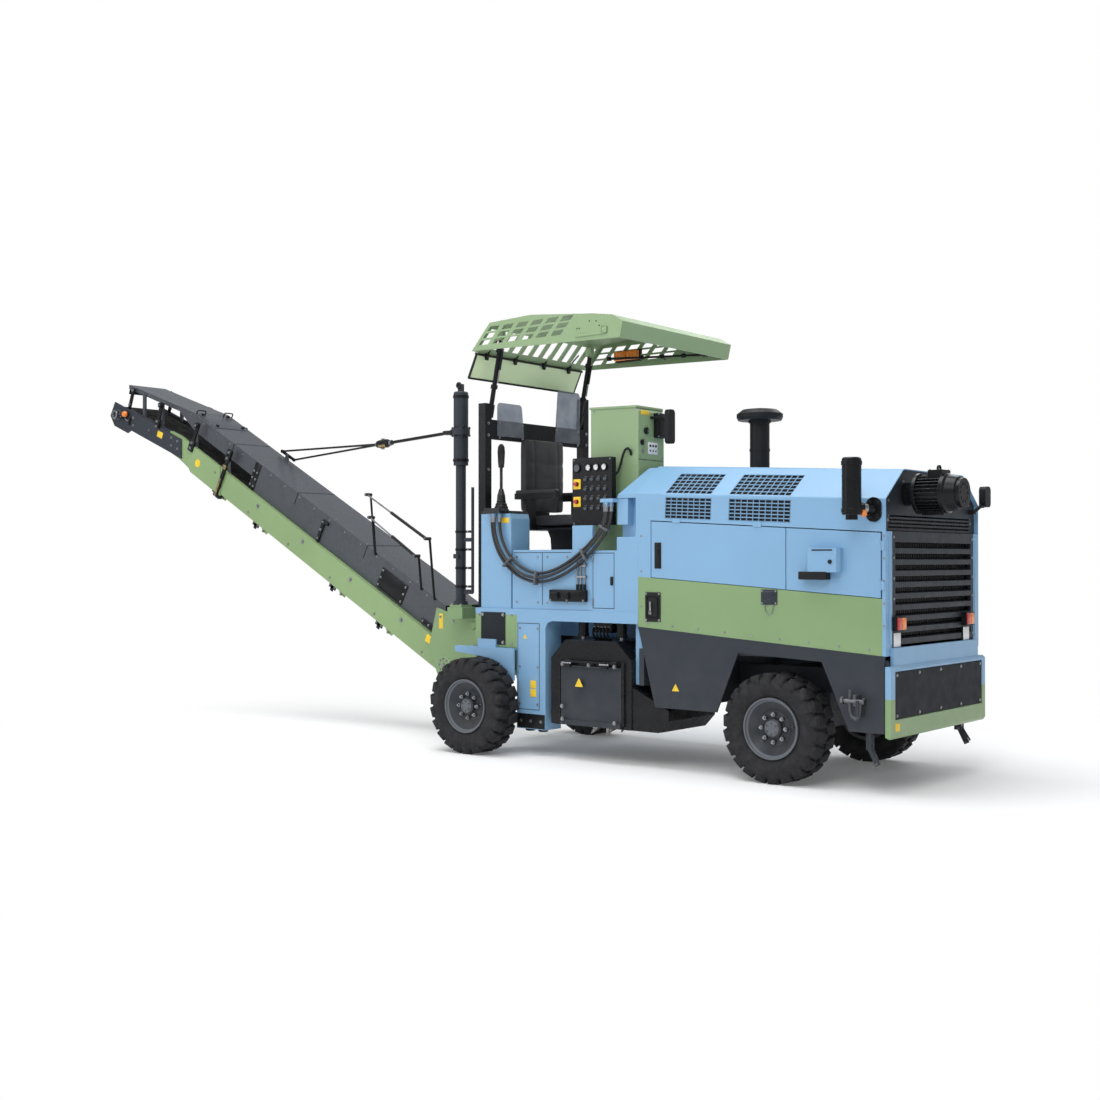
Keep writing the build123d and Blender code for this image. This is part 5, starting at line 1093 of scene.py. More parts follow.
# ================================================================ seat
def padded_form(name, low, high, crown, channels, face):
    """A crowned cushion: a subdivided block whose middle swells and whose sewn channels sink in.
    face is the index of the axis that the sitter presses along; a channel is (axis, place, half width), in
    shares of the cushion's half size."""
    low, high = Vector(low), Vector(high)
    size, centre = high - low, (low + high) / 2
    bm = bmesh.new()
    add_block(bm, low, high)
    bmesh.ops.subdivide_edges(bm, edges=bm.edges[:], cuts=27, use_grid_fill=True)
    inner = [axis for axis in range(3) if axis != face]
    for v in bm.verts:
        share = [2.0 * (v.co[a] - centre[a]) / size[a] for a in range(3)]
        swell = (1.0 - share[inner[0]] ** 4) * (1.0 - share[inner[1]] ** 4)
        v.co[face] = centre[face] + (v.co[face] - centre[face]) * (1.0 - crown * 0.35 + crown * 0.35 * swell)
        for a in inner:
            pull = 1.0 - 0.030 * abs(share[face]) ** 6
            other = inner[0] if a == inner[1] else inner[1]
            corner = 1.0 - 0.025 * abs(share[other]) ** 8
            v.co[a] = centre[a] + (v.co[a] - centre[a]) * pull * corner
        if share[face] > 0.0:
            for axis, place, width in channels:
                gap = abs(share[axis] - place) / width
                if gap < 1.0:
                    v.co[face] -= size[face] * 0.10 * (1.0 - gap) ** 1.5 * share[face]
    piece = make_piece(name, bm, "chassis", seat_cover, angle=180.0)
    soft = piece.modifiers.new("crown", "SUBSURF")
    soft.levels = soft.render_levels = 1
    return piece


def make_seat():
    """Cushion and backrest with bolsters and sewn channels, and the arm pads."""
    low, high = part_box("operator_seat")
    bolsters = [(1, -0.62, 0.06), (1, 0.62, 0.06)]
    cushion = padded_form("seat_cushion", (low.x + 0.100, low.y + 0.004, low.z + 0.001),
                          (high.x - 0.003, high.y - 0.004, low.z + 0.104), 1.0,
                          [(0, -0.30, 0.07), (0, 0.30, 0.07)] + bolsters, 2)
    back = padded_form("seat_back", (low.x + 0.003, low.y + 0.006, low.z + 0.128),
                       (low.x + 0.097, high.y - 0.006, high.z - 0.004), 1.0,
                       [(2, share, 0.045) for share in (-0.45, -0.05, 0.35)] + bolsters, 0)
    pads = bmesh.new()
    for side in (-1, 1):
        y = SEAT_Y + side * 0.272
        add_block(pads, (-2.462, y - 0.028, 1.918), (-2.068, y + 0.028, 1.950), 0.012, 4)
    arms = make_piece("arm_pads", pads, "chassis", seat_cover)
    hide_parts("operator_seat")


make_gauges()
make_cabinet_fittings()
make_lever_boot()
make_stand_fittings()
make_floor_plates()
for node in HOSE_ROUTES:
    make_hose(node)
make_hose_fittings()
make_seat()


# ================================================================ conveyor
SLOPE = radians(28.1)
HEAD_SLOPE = radians(21.0)
KNEE_X = -6.850
DATUM = (-4.978, 1.6225)
BEAM_Y = 0.260
SHEET_Y = 0.215
COVER_DROP = -0.270
LID_X = -6.520
LATCH_X = -6.140
HEAD_X = -7.860
AXLE_DROP = 0.108
RETURN_DROP = AXLE_DROP + 0.1386


def beam_z(x, drop=0.0):
    """Height of the side beam's top at a station, lowered by a drop square to its slope."""
    if x >= KNEE_X:
        return DATUM[1] + tan(SLOPE) * (DATUM[0] - x) - drop / cos(SLOPE)
    knee = DATUM[1] + tan(SLOPE) * (DATUM[0] - KNEE_X)
    return knee + tan(HEAD_SLOPE) * (KNEE_X - x) - drop / cos(HEAD_SLOPE)


def slope_at(x):
    """The beam's slope at a station: the head beyond the knee is flatter."""
    return SLOPE if x >= KNEE_X else HEAD_SLOPE


def on_beam(x, y, drop=0.0):
    """A local frame on the conveyor: X down the slope, Z square to it, at a drop under the beam's top."""
    return Matrix.Translation((x, y, beam_z(x, drop))) @ Matrix.Rotation(slope_at(x), 4, "Y")


def add_on_beam(bm, x, y, drop, low, high, edge=0.0):
    """A rounded block between two corners of the frame at a station."""
    made = add_block(bm, low, high, edge)
    bmesh.ops.transform(bm, matrix=on_beam(x, y, drop), verts=made)


def make_cover_fittings():
    """Screws along the cover's edges, its joints and the hinged lid with handles near the knee."""
    screws, seams, lid, handles = (bmesh.new() for _ in range(4))
    square = Vector((sin(SLOPE), 0.0, cos(SLOPE)))
    for side in (-1, 1):
        out = (0, side, 0)
        stations = [-3.480 - n * 0.199 for n in range(17)]
        add_bolts(screws, [(x, side * 0.190, beam_z(x, COVER_DROP)) for x in stations], square, 0.0065, 0.004)
        wall = [(x - 0.06, side * SHEET_Y, beam_z(x - 0.06, COVER_DROP + 0.030)) for x in stations]
        wall += [(x, side * SHEET_Y, beam_z(x, -0.215)) for x in (-6.930, -7.170, -7.410, -7.650)]
        add_bolts(screws, wall, out, 0.006, 0.004)
    for x in (-4.250, -5.150, -6.060):
        add_on_beam(seams, x, 0.0, COVER_DROP, (-0.004, -0.213, 0.0), (0.004, 0.213, 0.0016))
        add_on_beam(seams, x, -SHEET_Y, COVER_DROP, (-0.004, -0.0016, -0.118), (0.004, 0.0, 0.0))
        add_on_beam(seams, x, SHEET_Y, COVER_DROP, (-0.004, 0.0, -0.118), (0.004, 0.0016, 0.0))
    # hinged inspection lid with its two hinges on each side and its two grips
    add_on_beam(lid, LID_X, 0.0, COVER_DROP, (-0.165, -0.190, 0.0), (0.165, 0.190, 0.005), 0.002)
    for x in (-0.130, 0.130):
        for side in (-1, 1):
            add_on_beam(handles, LID_X, side * 0.150, COVER_DROP, (x - 0.012, -0.014, 0.004),
                        (x + 0.012, 0.014, 0.022), 0.004)
    place = on_beam(LID_X - 0.130, 0.0, COVER_DROP)
    grip = [(-0.050, 0.004), (-0.050, 0.034), (-0.040, 0.044), (0.040, 0.044), (0.050, 0.034), (0.050, 0.004)]
    for y in (-0.160, 0.160):
        add_bent_bar(handles, [place @ Vector((0.0, y + across, up)) for across, up in grip], 0.006)
    make_piece("cover_screws", screws, "conveyor", bright_steel)
    make_piece("cover_seams", seams, "conveyor", black_paint)
    make_piece("cover_lid", lid, "conveyor", cover_lit_paint)
    make_piece("cover_handles", handles, "conveyor", black_plastic)


def bolts_up_beam(bm, x, y, side, rises, size, height, shift=0.0):
    """Bolts on a plate that stands square to the beam, at rises over the beam's top."""
    place = on_beam(x, y)
    add_bolts(bm, [place @ Vector((shift, 0, rise)) for rise in rises], (0, side, 0), size, height)


def make_clamps():
    """Over-centre clamps and joint plates that hold the cover down on the beams."""
    dark, bright, brass = (bmesh.new() for _ in range(3))
    for side in (-1, 1):
        out = Vector((0, side, 0))
        # joint brackets of the head arm: a post with a bolted foot and an eye bolt
        for x, y, top, foot in ((-6.640, BEAM_Y + 0.012, 0.245, 0.040), (-7.180, 0.282, 0.230, 0.020)):
            y *= side
            add_on_beam(dark, x, y, 0.0, (-0.020, -0.010, -foot), (0.020, 0.010, top), 0.003)
            add_on_beam(dark, x, y, 0.0, (-0.036, -0.014, -foot - 0.01), (0.036, 0.014, 0.060), 0.004)
            bolts_up_beam(bright, x, y + side * 0.012, side, (-0.015, 0.035), 0.011, 0.011)
            eye = on_beam(x, y) @ Vector((0, side * 0.006, top - 0.03))
            add_rod(bright, eye, eye + out * 0.030, 0.012, 16)
            add_band(dark, eye + out * 0.012, out, 0.012, 0.026, 0.012, 20)
        # the big draw latch across the beam
        x, y = LATCH_X, side * (BEAM_Y + 0.016)
        add_on_beam(dark, x, y, 0.0, (-0.020, -0.010, -0.235), (0.016, 0.010, 0.210), 0.004)
        add_on_beam(dark, x, y, 0.0, (-0.034, -0.014, 0.110), (0.030, 0.014, 0.226), 0.005)
        add_on_beam(brass, x, y + side * 0.013, 0.0, (-0.013, -0.005, -0.255), (0.006, 0.005, -0.070), 0.003)
        add_on_beam(brass, x, y + side * 0.013, 0.0, (-0.024, -0.006, 0.030), (0.024, 0.006, 0.072), 0.004)
        rises = (0.200, 0.140, 0.052, -0.100, -0.230)
        bolts_up_beam(bright, x, y + side * 0.012, side, rises, 0.010, 0.010, -0.003)
        y = side * (BEAM_Y - 0.006)
        add_on_beam(dark, x, y, 0.0, (-0.040, -0.030, -0.262), (0.050, 0.030, -0.232), 0.006)
        # plates over the cover's joints
        y = side * (SHEET_Y + 0.004)
        for x, half, top in ((-5.820, 0.042, 0.262), (-4.000, 0.170, 0.200)):
            add_on_beam(dark, x, y, 0.0, (-half, -0.004, 0.020), (half, 0.005, top), 0.003)
            for shift in (0.018 - half, half - 0.018):
                bolts_up_beam(bright, x, y + side * 0.004, side, (0.045, 0.115, 0.180), 0.008, 0.007, shift)
        # lever handle on the cover's wall
        x, y = -4.880, side * (SHEET_Y + 0.010)
        add_on_beam(dark, x, y, 0.0, (-0.030, -0.008, 0.010), (0.006, 0.008, 0.215), 0.004)
        add_on_beam(dark, x, y, 0.0, (-0.030, -0.011, 0.190), (0.052, 0.011, 0.216), 0.004)
        bolts_up_beam(bright, x, y + side * 0.007, side, (0.040, 0.125, 0.200), 0.009, 0.008, -0.012)
    make_piece("cover_clamps", dark, "conveyor", black_paint)
    make_piece("clamp_bolts", bright, "conveyor", bright_steel)
    make_piece("clamp_hooks", brass, "conveyor", brass_plate)


def make_head_fittings():
    """Bearings, take-up screws, lamps and the discharge end's rubber apron."""
    dark, bright, amber, apron = (bmesh.new() for _ in range(4))
    axle_z = beam_z(HEAD_X, AXLE_DROP)
    for side in (-1, 1):
        out = Vector((0, side, 0))
        add_turned(bright, (HEAD_X, side * 0.304, axle_z), out,
                   [(0.0, 0.030), (0.0, 0.044), (0.016, 0.044), (0.020, 0.040), (0.020, 0.030)], 32)
        flange = [(HEAD_X + x, side * 0.290, axle_z + z) for x, z in circle(6, 0.053)]
        add_bolts(bright, flange, out, 0.007, 0.009)
        # take-up screw behind the bearing, with its nuts and its stop
        place = on_beam(HEAD_X, side * 0.284, AXLE_DROP)
        add_rod(bright, place @ Vector((0.060, 0, 0)), place @ Vector((0.210, 0, 0)), 0.008, 14)
        for along in (0.090, 0.120):
            add_rod(dark, place @ Vector((along, 0, 0)), place @ Vector((along + 0.016, 0, 0)), 0.017, 6)
        add_on_beam(dark, HEAD_X + 0.205, side * 0.281, AXLE_DROP, (-0.012, -0.008, -0.040),
                    (0.012, 0.012, 0.040), 0.003)
        # amber lamp on its black foot
        lamp = place @ Vector((0.155, side * 0.012, 0.052))
        lens = [(0.0, 0.0), (0.0, 0.030), (0.020, 0.030), (0.034, 0.022), (0.038, 0.0)]
        add_turned(amber, lamp, out, lens, 24)
        add_band(dark, lamp - out * 0.006, out, 0.0, 0.034, 0.010, 24)
        # bolts of the arm's foot and along the head arm
        arm = [(x, drop) for x in (-6.860, -6.960) for drop in (0.050, 0.120)]
        arm += [(-7.330, 0.095), (-7.600, 0.060), (-7.600, 0.130)]
        add_bolts(bright, [(x, side * 0.274, beam_z(x, drop)) for x, drop in arm], out, 0.010, 0.009)
        # end posts that carry the cover's tip
        add_on_beam(dark, -7.720, side * 0.236, 0.0, (-0.018, -0.010, -0.010), (0.018, 0.010, 0.206), 0.003)
        bolts_up_beam(bright, -7.720, side * 0.246, side, (0.185, 0.035), 0.011, 0.010)
    # apron hung from the cover's tip
    tip, drop = -7.756, -0.205
    for n in range(7):
        y = -0.196 + n * 0.056
        add_on_beam(apron, tip, y, drop, (-0.008, 0.001, -0.090), (0.000, 0.055, 0.000), 0.001)
    add_on_beam(dark, tip, 0.0, drop, (-0.012, -0.198, -0.012), (0.004, 0.198, 0.004), 0.002)
    make_piece("head_fittings", dark, "conveyor", black_paint)
    make_piece("head_bolts", bright, "conveyor", bright_steel)
    make_piece("head_lamps", amber, "conveyor", amber_lens)
    make_piece("head_apron", apron, "conveyor", skirt_rubber)


def make_roller_brackets():
    """Bolted black hangers at the ends of the return rollers, and the carrying rollers' nuts."""
    dark, bright = bmesh.new(), bmesh.new()
    for side in (-1, 1):
        out = Vector((0, side, 0))
        y = side * 0.231
        for x in (-3.977, -4.560, -5.609, -6.214):
            add_on_beam(dark, x, y, 0.0, (-0.046, -0.005, -0.262), (0.046, 0.005, -0.2175), 0.003)
            add_on_beam(dark, x, y, 0.0, (-0.020, -0.005, -0.286), (0.020, 0.005, -0.230), 0.006)
            spot = Vector((x, side * 0.236, beam_z(x, RETURN_DROP)))
            add_rod(bright, spot, spot + out * 0.012, 0.011, 6)
            for shift in (-0.034, 0.034):
                bolts_up_beam(bright, x, side * 0.236, side, (-0.240,), 0.007, 0.006, shift)
        for n in range(5):
            x = -3.800 - n * 0.620
            spot = Vector((x, side * BEAM_Y, beam_z(x, 0.066)))
            add_rod(bright, spot - out * 0.001, spot + out * 0.003, 0.020, 20)
            add_rod(bright, spot, spot + out * 0.012, 0.0115, 6)
        low_row = [-3.560 - n * 0.560 for n in range(6)]
        add_bolts(bright, [(x, side * BEAM_Y, beam_z(x, 0.178)) for x in low_row], out, 0.009, 0.007)
    make_piece("roller_brackets", dark, "conveyor", black_paint)
    make_piece("roller_nuts", bright, "conveyor", bright_steel)


def make_beam_labels():
    """Blank yellow labels on the beams, the head arms and the carrier, and the pull-cord switches."""
    labels, signs, switches = bmesh.new(), bmesh.new(), bmesh.new()
    for side in (-1, 1):
        out = Vector((0, side, 0))
        place = Vector((-6.550, side * 0.270, beam_z(-6.550, 0.105)))
        add_rod(labels, place - out * 0.001, place + out * 0.0016, 0.038, 32)
        add_on_beam(labels, -7.150, side * 0.274, 0.080, (-0.045, -0.0014, -0.030),
                    (0.045, 0.0014, 0.030), 0.0006)
        add_on_beam(switches, -3.470, side * (BEAM_Y + 0.008), 0.040, (-0.030, -0.009, -0.030),
                    (0.030, 0.009, 0.030), 0.004)
    add_block(signs, (-3.305, -0.3196, 0.865), (-3.262, -0.3175, 0.985), 0.0006)
    add_block(signs, (-3.305, 0.3175, 0.865), (-3.262, 0.3196, 0.985), 0.0006)
    make_piece("conveyor_labels", labels, "conveyor", yellow_label)
    make_piece("carrier_labels", signs, "carrier", yellow_label)
    make_piece("pull_switches", switches, "conveyor", yellow_label)


def make_feed_end():
    """The lower end's rubber skirts with their clamping strips and bolts."""
    rubber, strip, bolts = bmesh.new(), bmesh.new(), bmesh.new()
    for side in (-1, 1):
        add_on_beam(rubber, -3.480, side * 0.204, 0.0, (-0.160, -0.003, 0.000), (0.200, 0.003, 0.150), 0.001)
        add_on_beam(strip, -3.480, side * 0.223, 0.0, (-0.150, -0.006, 0.020), (0.190, 0.006, 0.052), 0.002)
        for n in range(5):
            bolts_up_beam(bolts, -3.480, side * 0.229, side, (0.036,), 0.008, 0.007, -0.130 + n * 0.075)
    make_piece("feed_skirts", rubber, "conveyor", skirt_rubber)
    make_piece("feed_strips", strip, "conveyor", black_paint)
    make_piece("feed_bolts", bolts, "conveyor", bright_steel)


def make_cover_stays():
    """Gas springs and linkage that hold up the lower cover, on the right side."""
    dark, bright = bmesh.new(), bmesh.new()
    # (top, foot, share of the length that is the thin rod)
    springs = (((-4.167, -0.300, 1.970), (-3.470, -0.300, 1.590), 0.42),
               ((-4.160, -0.275, 1.778), (-3.620, -0.275, 1.450), 0.50))
    eye = Vector((0, -0.016, 0))
    for top, foot, share in springs:
        top, foot = Vector(top), Vector(foot)
        half = top.lerp(foot, share)
        add_rod(bright, top, half, 0.007, 16)
        add_rod(dark, half, foot, 0.013, 20)
        for end in (top, foot):
            add_rod(dark, end + eye, end + Vector((0, 0.050, 0)), 0.014, 16)
            add_bolt(bright, end + eye, (0, -1, 0), 0.010, 0.008)
        # posts from the spring's ends to the cover's wall
        for end, along, radius in ((foot, 0.020, 0.010), (top, 0.015, 0.009)):
            wall = Vector((end.x + along, -0.222, beam_z(end.x, -0.240)))
            add_rod(dark, end + Vector((0, 0.040, 0.010)), wall, radius, 16)
    make_piece("cover_stays", dark, "conveyor", black_paint)
    make_piece("cover_stay_rods", bright, "conveyor", dull_steel)


# ================================================================ mast, stays and carrier
MAST = Vector((-2.990, -0.400, 0.0))
SLEW_X = -2.680


def make_mast_fittings():
    """Collar bolts, hose clamps, the eye on top and the base plate's bolts."""
    rod, barrel, bolts = bmesh.new(), bmesh.new(), bmesh.new()
    x, y = MAST.x, MAST.y
    for z in (2.395, 2.455):
        for across, up in circle(6, 0.064, 0.5):
            add_bolt(barrel, (x + across, y + up, z), (across, up, 0), 0.008, 0.012)
    for z in (2.190, 2.690):
        add_band(barrel, (x, y, z), (0, 0, 1), 0.0575, 0.063, 0.022)
    add_turned(barrel, (x, y - 0.020, 2.790), (0, -1, 0),
               [(0.0, 0.010), (0.0, 0.026), (0.010, 0.026), (0.010, 0.010), (0.0, 0.010)], 24)
    for z in (1.200, 1.345, 1.490, 1.630):
        add_band(rod, (x, y, z), (0, 0, 1), 0.0395, 0.045, 0.018)
        add_block(rod, (x + 0.036, y - 0.010, z), (x + 0.132, y + 0.010, z + 0.018), 0.003)
        add_bolt(bolts, (x + 0.084, y - 0.010, z + 0.009), (0, -1, 0), 0.006, 0.005)
    base = [(x + dx, y + dy, 1.066) for dx in (-0.046, 0.046) for dy in (-0.046, 0.046)]
    add_bolts(bolts, base, (0, 0, 1), 0.010, 0.010)
    make_piece("mast_clamps", rod, "carrier", black_paint)
    make_piece("mast_bolts", bolts, "carrier", bright_steel)
    make_piece("barrel_bands", barrel, "mast_barrel", black_paint)


def make_stay_fittings():
    """Turnbuckle threads, lock nuts and the clevis pins of the stays."""
    bright, brass = bmesh.new(), bmesh.new()
    clevis = Vector((-3.975, -0.300, 2.389))
    along = Vector((1, -0.12, 0.03)).normalized()
    for reach in (-0.082, 0.100):
        add_rod(bright, clevis + along * reach, clevis + along * (reach + 0.026), 0.024, 6)
    add_rod(brass, clevis + along * -0.030, clevis + along * 0.062, 0.0355, 24)
    add_rod(bright, clevis + Vector((0, 0, -0.045)), clevis + Vector((0, 0, 0.045)), 0.010, 14)
    for z in (-0.045, 0.039):
        add_rod(bright, clevis + Vector((0, 0, z)), clevis + Vector((0, 0, z + 0.006)), 0.018, 14)
    make_piece("stay_nuts", bright, "stays", bright_steel)
    make_piece("stay_sleeve", brass, "stays", brass_plate)


def make_carrier_fittings():
    """Pivot caps, cheek bolts and the slewing pin's washers."""
    bolts = bmesh.new()
    pivot_x, pivot_z = -3.250, 0.575
    cheek = ((-2.770, 0.950), (-2.770, 0.760), (-2.860, 0.955), (-3.050, 0.700), (-3.150, 0.930),
             (-3.290, 0.960), (-2.930, 0.740))
    for side in (-1, 1):
        out = (0, side, 0)
        cap = [(pivot_x + x, side * 0.328, pivot_z + z) for x, z in circle(8, 0.050)]
        add_bolts(bolts, cap, out, 0.008, 0.007)
        add_rod(bolts, (pivot_x, side * 0.327, pivot_z), (pivot_x, side * 0.336, pivot_z), 0.014, 20)
        add_bolts(bolts, [(x, side * 0.318, z) for x, z in cheek], out, 0.010, 0.008)
    for z in (0.982, 0.478):
        add_rod(bolts, (SLEW_X, 0, z - 0.004), (SLEW_X, 0, z + 0.004), 0.042, 24)
    make_piece("carrier_bolts", bolts, "carrier", bright_steel)


# ================================================================ canopy
ROOF_WALL = 0.700
PROP_Y = 0.5467
ROD = Vector((-2.588, 0.0, 2.972))
PROP_FOOT = Vector((-2.560, 0.0, 2.480))
PROP_HEAD = Vector((-2.440, 0.0, 3.070))


def add_flap_straps(dark):
    """The rear rod with its buckles, and the straps from it up to the roof's slats."""
    add_rod(dark, (ROD.x, -0.636, ROD.z), (ROD.x, 0.636, ROD.z), 0.0085, 16)
    for y in (-0.540, -0.209, 0.142, 0.458):
        add_rod(dark, (ROD.x, y - 0.017, ROD.z), (ROD.x, y + 0.017, ROD.z), 0.016, 16)
        add_block(dark, (ROD.x - 0.010, y - 0.015, ROD.z - 0.034),
                  (ROD.x + 0.006, y + 0.015, ROD.z + 0.006), 0.003)
        strap = [(ROD.x + 0.002, y, ROD.z), (-2.566, y + 0.032, 3.040), (-2.520, y + 0.046, 3.088)]
        add_bent_bar(dark, strap, 0.006, 10)


def add_flap_edge(edge):
    """The rolled edge round the flap's two ends and its lower side."""
    half = 0.640
    rim = [Vector(point) for point in ((-2.602, -half, 2.980), (-2.686, -half, 2.802), (-2.686, half, 2.802),
                                       (-2.602, half, 2.980))]
    add_bent_bar(edge, rim, 0.0095, 14)
    for corner in rim[1:3]:
        made = bmesh.ops.create_uvsphere(edge, u_segments=14, v_segments=8, radius=0.0075)["verts"]
        bmesh.ops.translate(edge, vec=corner, verts=made)


def add_prop_clamps(dark, bolts):
    """Clamps on the props, at the foot of the sleeves and under the roof, and a gas spring beside each."""
    axis = (PROP_HEAD - PROP_FOOT).normalized()
    for side in (-1, 1):
        offset = Vector((0, side * PROP_Y, 0))
        for share in (0.17, 0.42, 0.88):
            at = PROP_FOOT.lerp(PROP_HEAD, share) + offset
            add_rod(dark, at - axis * 0.016, at + axis * 0.016, 0.0265, 20)
            # a bolt only under the roof: the lower ones would meet the guard when the canopy comes down
            if share > 0.5:
                add_rod(bolts, at + Vector((0.024, 0, 0)), at + Vector((0.042, 0, 0.004)), 0.007, 6)
        beside = offset + Vector((0.030, 0, 0))
        start, end = (PROP_FOOT.lerp(PROP_HEAD, share) + beside for share in (0.46, 0.88))
        add_rod(bolts, start, start.lerp(end, 0.45), 0.005, 12)
        add_rod(dark, start.lerp(end, 0.40), end, 0.0095, 14)


def make_canopy_fittings():
    """Straps, the flap's edge, clamps on the props, raised bars, lamps, a rail and screws."""
    dark, edge, bolts, amber, bar, lens = (bmesh.new() for _ in range(6))
    add_flap_straps(dark)
    add_flap_edge(edge)
    add_prop_clamps(dark, bolts)
    # raised bar with a square end and dark rivets on each side wall
    rivets = ((-1.590, 3.052), (-1.570, 3.052), (-1.480, 3.095), (-1.420, 3.090), (-1.392, 3.055))
    for side in (-1, 1):
        inner = side * (ROOF_WALL - 0.001)
        add_block(bar, (-1.605, inner, 2.990), (-1.345, side * (ROOF_WALL + 0.007), 3.012), 0.004)
        add_block(bar, (-1.372, inner, 2.995), (-1.322, side * (ROOF_WALL + 0.009), 3.045), 0.009, 3)
        for x, z in rivets:
            add_rod(dark, (x, inner, z), (x, side * (ROOF_WALL + 0.0012), z), 0.0055, 12)
    # amber beacon inside the left wall, a work lamp under the front edge
    add_block(dark, (-2.262, 0.655, 3.020), (-2.015, 0.690, 3.112), 0.006)
    add_block(amber, (-2.255, 0.620, 3.028), (-2.140, 0.660, 3.104), 0.010, 3)
    add_block(amber, (-2.135, 0.620, 3.028), (-2.022, 0.660, 3.104), 0.010, 3)
    for n in range(7):
        x = -2.235 + n * 0.034
        add_block(amber, (x - 0.002, 0.6165, 3.040), (x + 0.002, 0.622, 3.092))
    wall = [(x, 0.692, z) for x in (-1.800, -1.480) for z in (3.010, 3.070)]
    add_bolts(bolts, wall, (0, -1, 0), 0.009, 0.007)
    add_block(dark, (-1.290, 0.560, 2.985), (-1.235, 0.640, 3.040), 0.008)
    add_rod(lens, (-1.233, 0.600, 3.012), (-1.229, 0.600, 3.012), 0.020, 24)
    # rail under the far edge, with its clips and hangers
    add_rod(dark, (-2.300, 0.600, 3.048), (-1.300, 0.600, 2.992), 0.009, 12)
    for x in (-2.280, -1.960, -1.760, -1.560, -1.360):
        z = 3.048 - 0.056 * (x + 2.300)
        add_rod(dark, (x - 0.014, 0.600, z), (x + 0.014, 0.600, z), 0.017, 14)
        add_rod(bolts, (x, 0.600, z - 0.012), (x, 0.600, z + 0.030), 0.006, 10)
    # screws along the roof's front fold
    add_bolts(bolts, [(-1.365, -0.600 + n * 0.200, 3.1342) for n in range(7)], (0.17, 0, 1), 0.006, 0.004)
    make_piece("canopy_straps", dark, "canopy", black_plastic)
    make_piece("flap_edge", edge, "canopy", skirt_rubber, "black_plastic")
    make_piece("canopy_bolts", bolts, "canopy", bright_steel)
    make_piece("canopy_beacon", amber, "canopy", amber_lens)
    make_piece("canopy_bars", bar, "canopy", canopy_paint)
    make_piece("canopy_lamp", lens, "canopy", clear_lens)


# ================================================================ underbody
COLUMN_Y = 0.700


def make_milling_fittings():
    """Bolts, hinges, the top rail and a blank sign on each edge plate."""
    for side, word in ((-1, "right"), (1, "left")):
        bolts, dark, sign = (bmesh.new() for _ in range(3))
        body = f"{word}_edge_plate"
        low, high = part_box(body)
        face = low.y if side < 0 else high.y
        back, proud = face - side * 0.002, face + side * 0.010
        right, left = low.x + 0.030, high.x - 0.040
        spots = [(x, z) for x in (right, left) for z in (low.z + 0.040, high.z - 0.030)]
        spots += [(low.x + 0.025, 0.380), ((low.x + high.x) / 2, high.z - 0.030)]
        add_bolts(bolts, [(x, face, z) for x, z in spots], (0, side, 0), 0.011, 0.009)
        add_block(dark, (low.x + 0.020, back, high.z - 0.016),
                  (high.x - 0.020, face + side * 0.014, high.z - 0.002), 0.003)
        for x in (low.x + 0.080, high.x - 0.120):
            add_block(dark, (x - 0.030, back, high.z - 0.050),
                      (x + 0.030, face + side * 0.018, high.z - 0.002), 0.005)
            add_rod(bolts, (x - 0.040, proud, high.z - 0.020), (x + 0.040, proud, high.z - 0.020), 0.009, 16)
        add_triangle(sign, (-1.555, face, 0.545), side, 0.042, 0.0016)
        make_piece(f"edge_plate_bolts_{word}", bolts, body, bright_steel)
        make_piece(f"edge_plate_rail_{word}", dark, body, black_paint)
        make_piece(f"edge_plate_sign_{word}", sign, body, yellow_label)


def make_column_fittings():
    """The line of the rear columns' cover, its screws and the blank signs."""
    seams, screws, yellow = (bmesh.new() for _ in range(3))
    for side in (-1, 1):
        face = side * COLUMN_Y
        add_seam_frame(seams, -2.142, -1.935, 0.330, 0.958, face - side * 0.001, face + side * 0.0014)
        edge = [(x, face, z) for x in (-1.955, -2.122) for z in (0.370, 0.640, 0.920)]
        add_bolts(screws, edge, (0, side, 0), 0.007, 0.005)
        for z in (0.425, 0.487):
            add_block(yellow, (-2.020, face - side * 0.001, z),
                      (-1.968, face + side * 0.0016, z + 0.056), 0.0006)
        add_triangle(yellow, (-2.071, face, 0.855), side, 0.022, 0.0014)
    make_piece("column_seams", seams, "chassis", black_paint)
    make_piece("column_screws", screws, "chassis", bright_steel)
    make_piece("column_signs", yellow, "chassis", yellow_label)


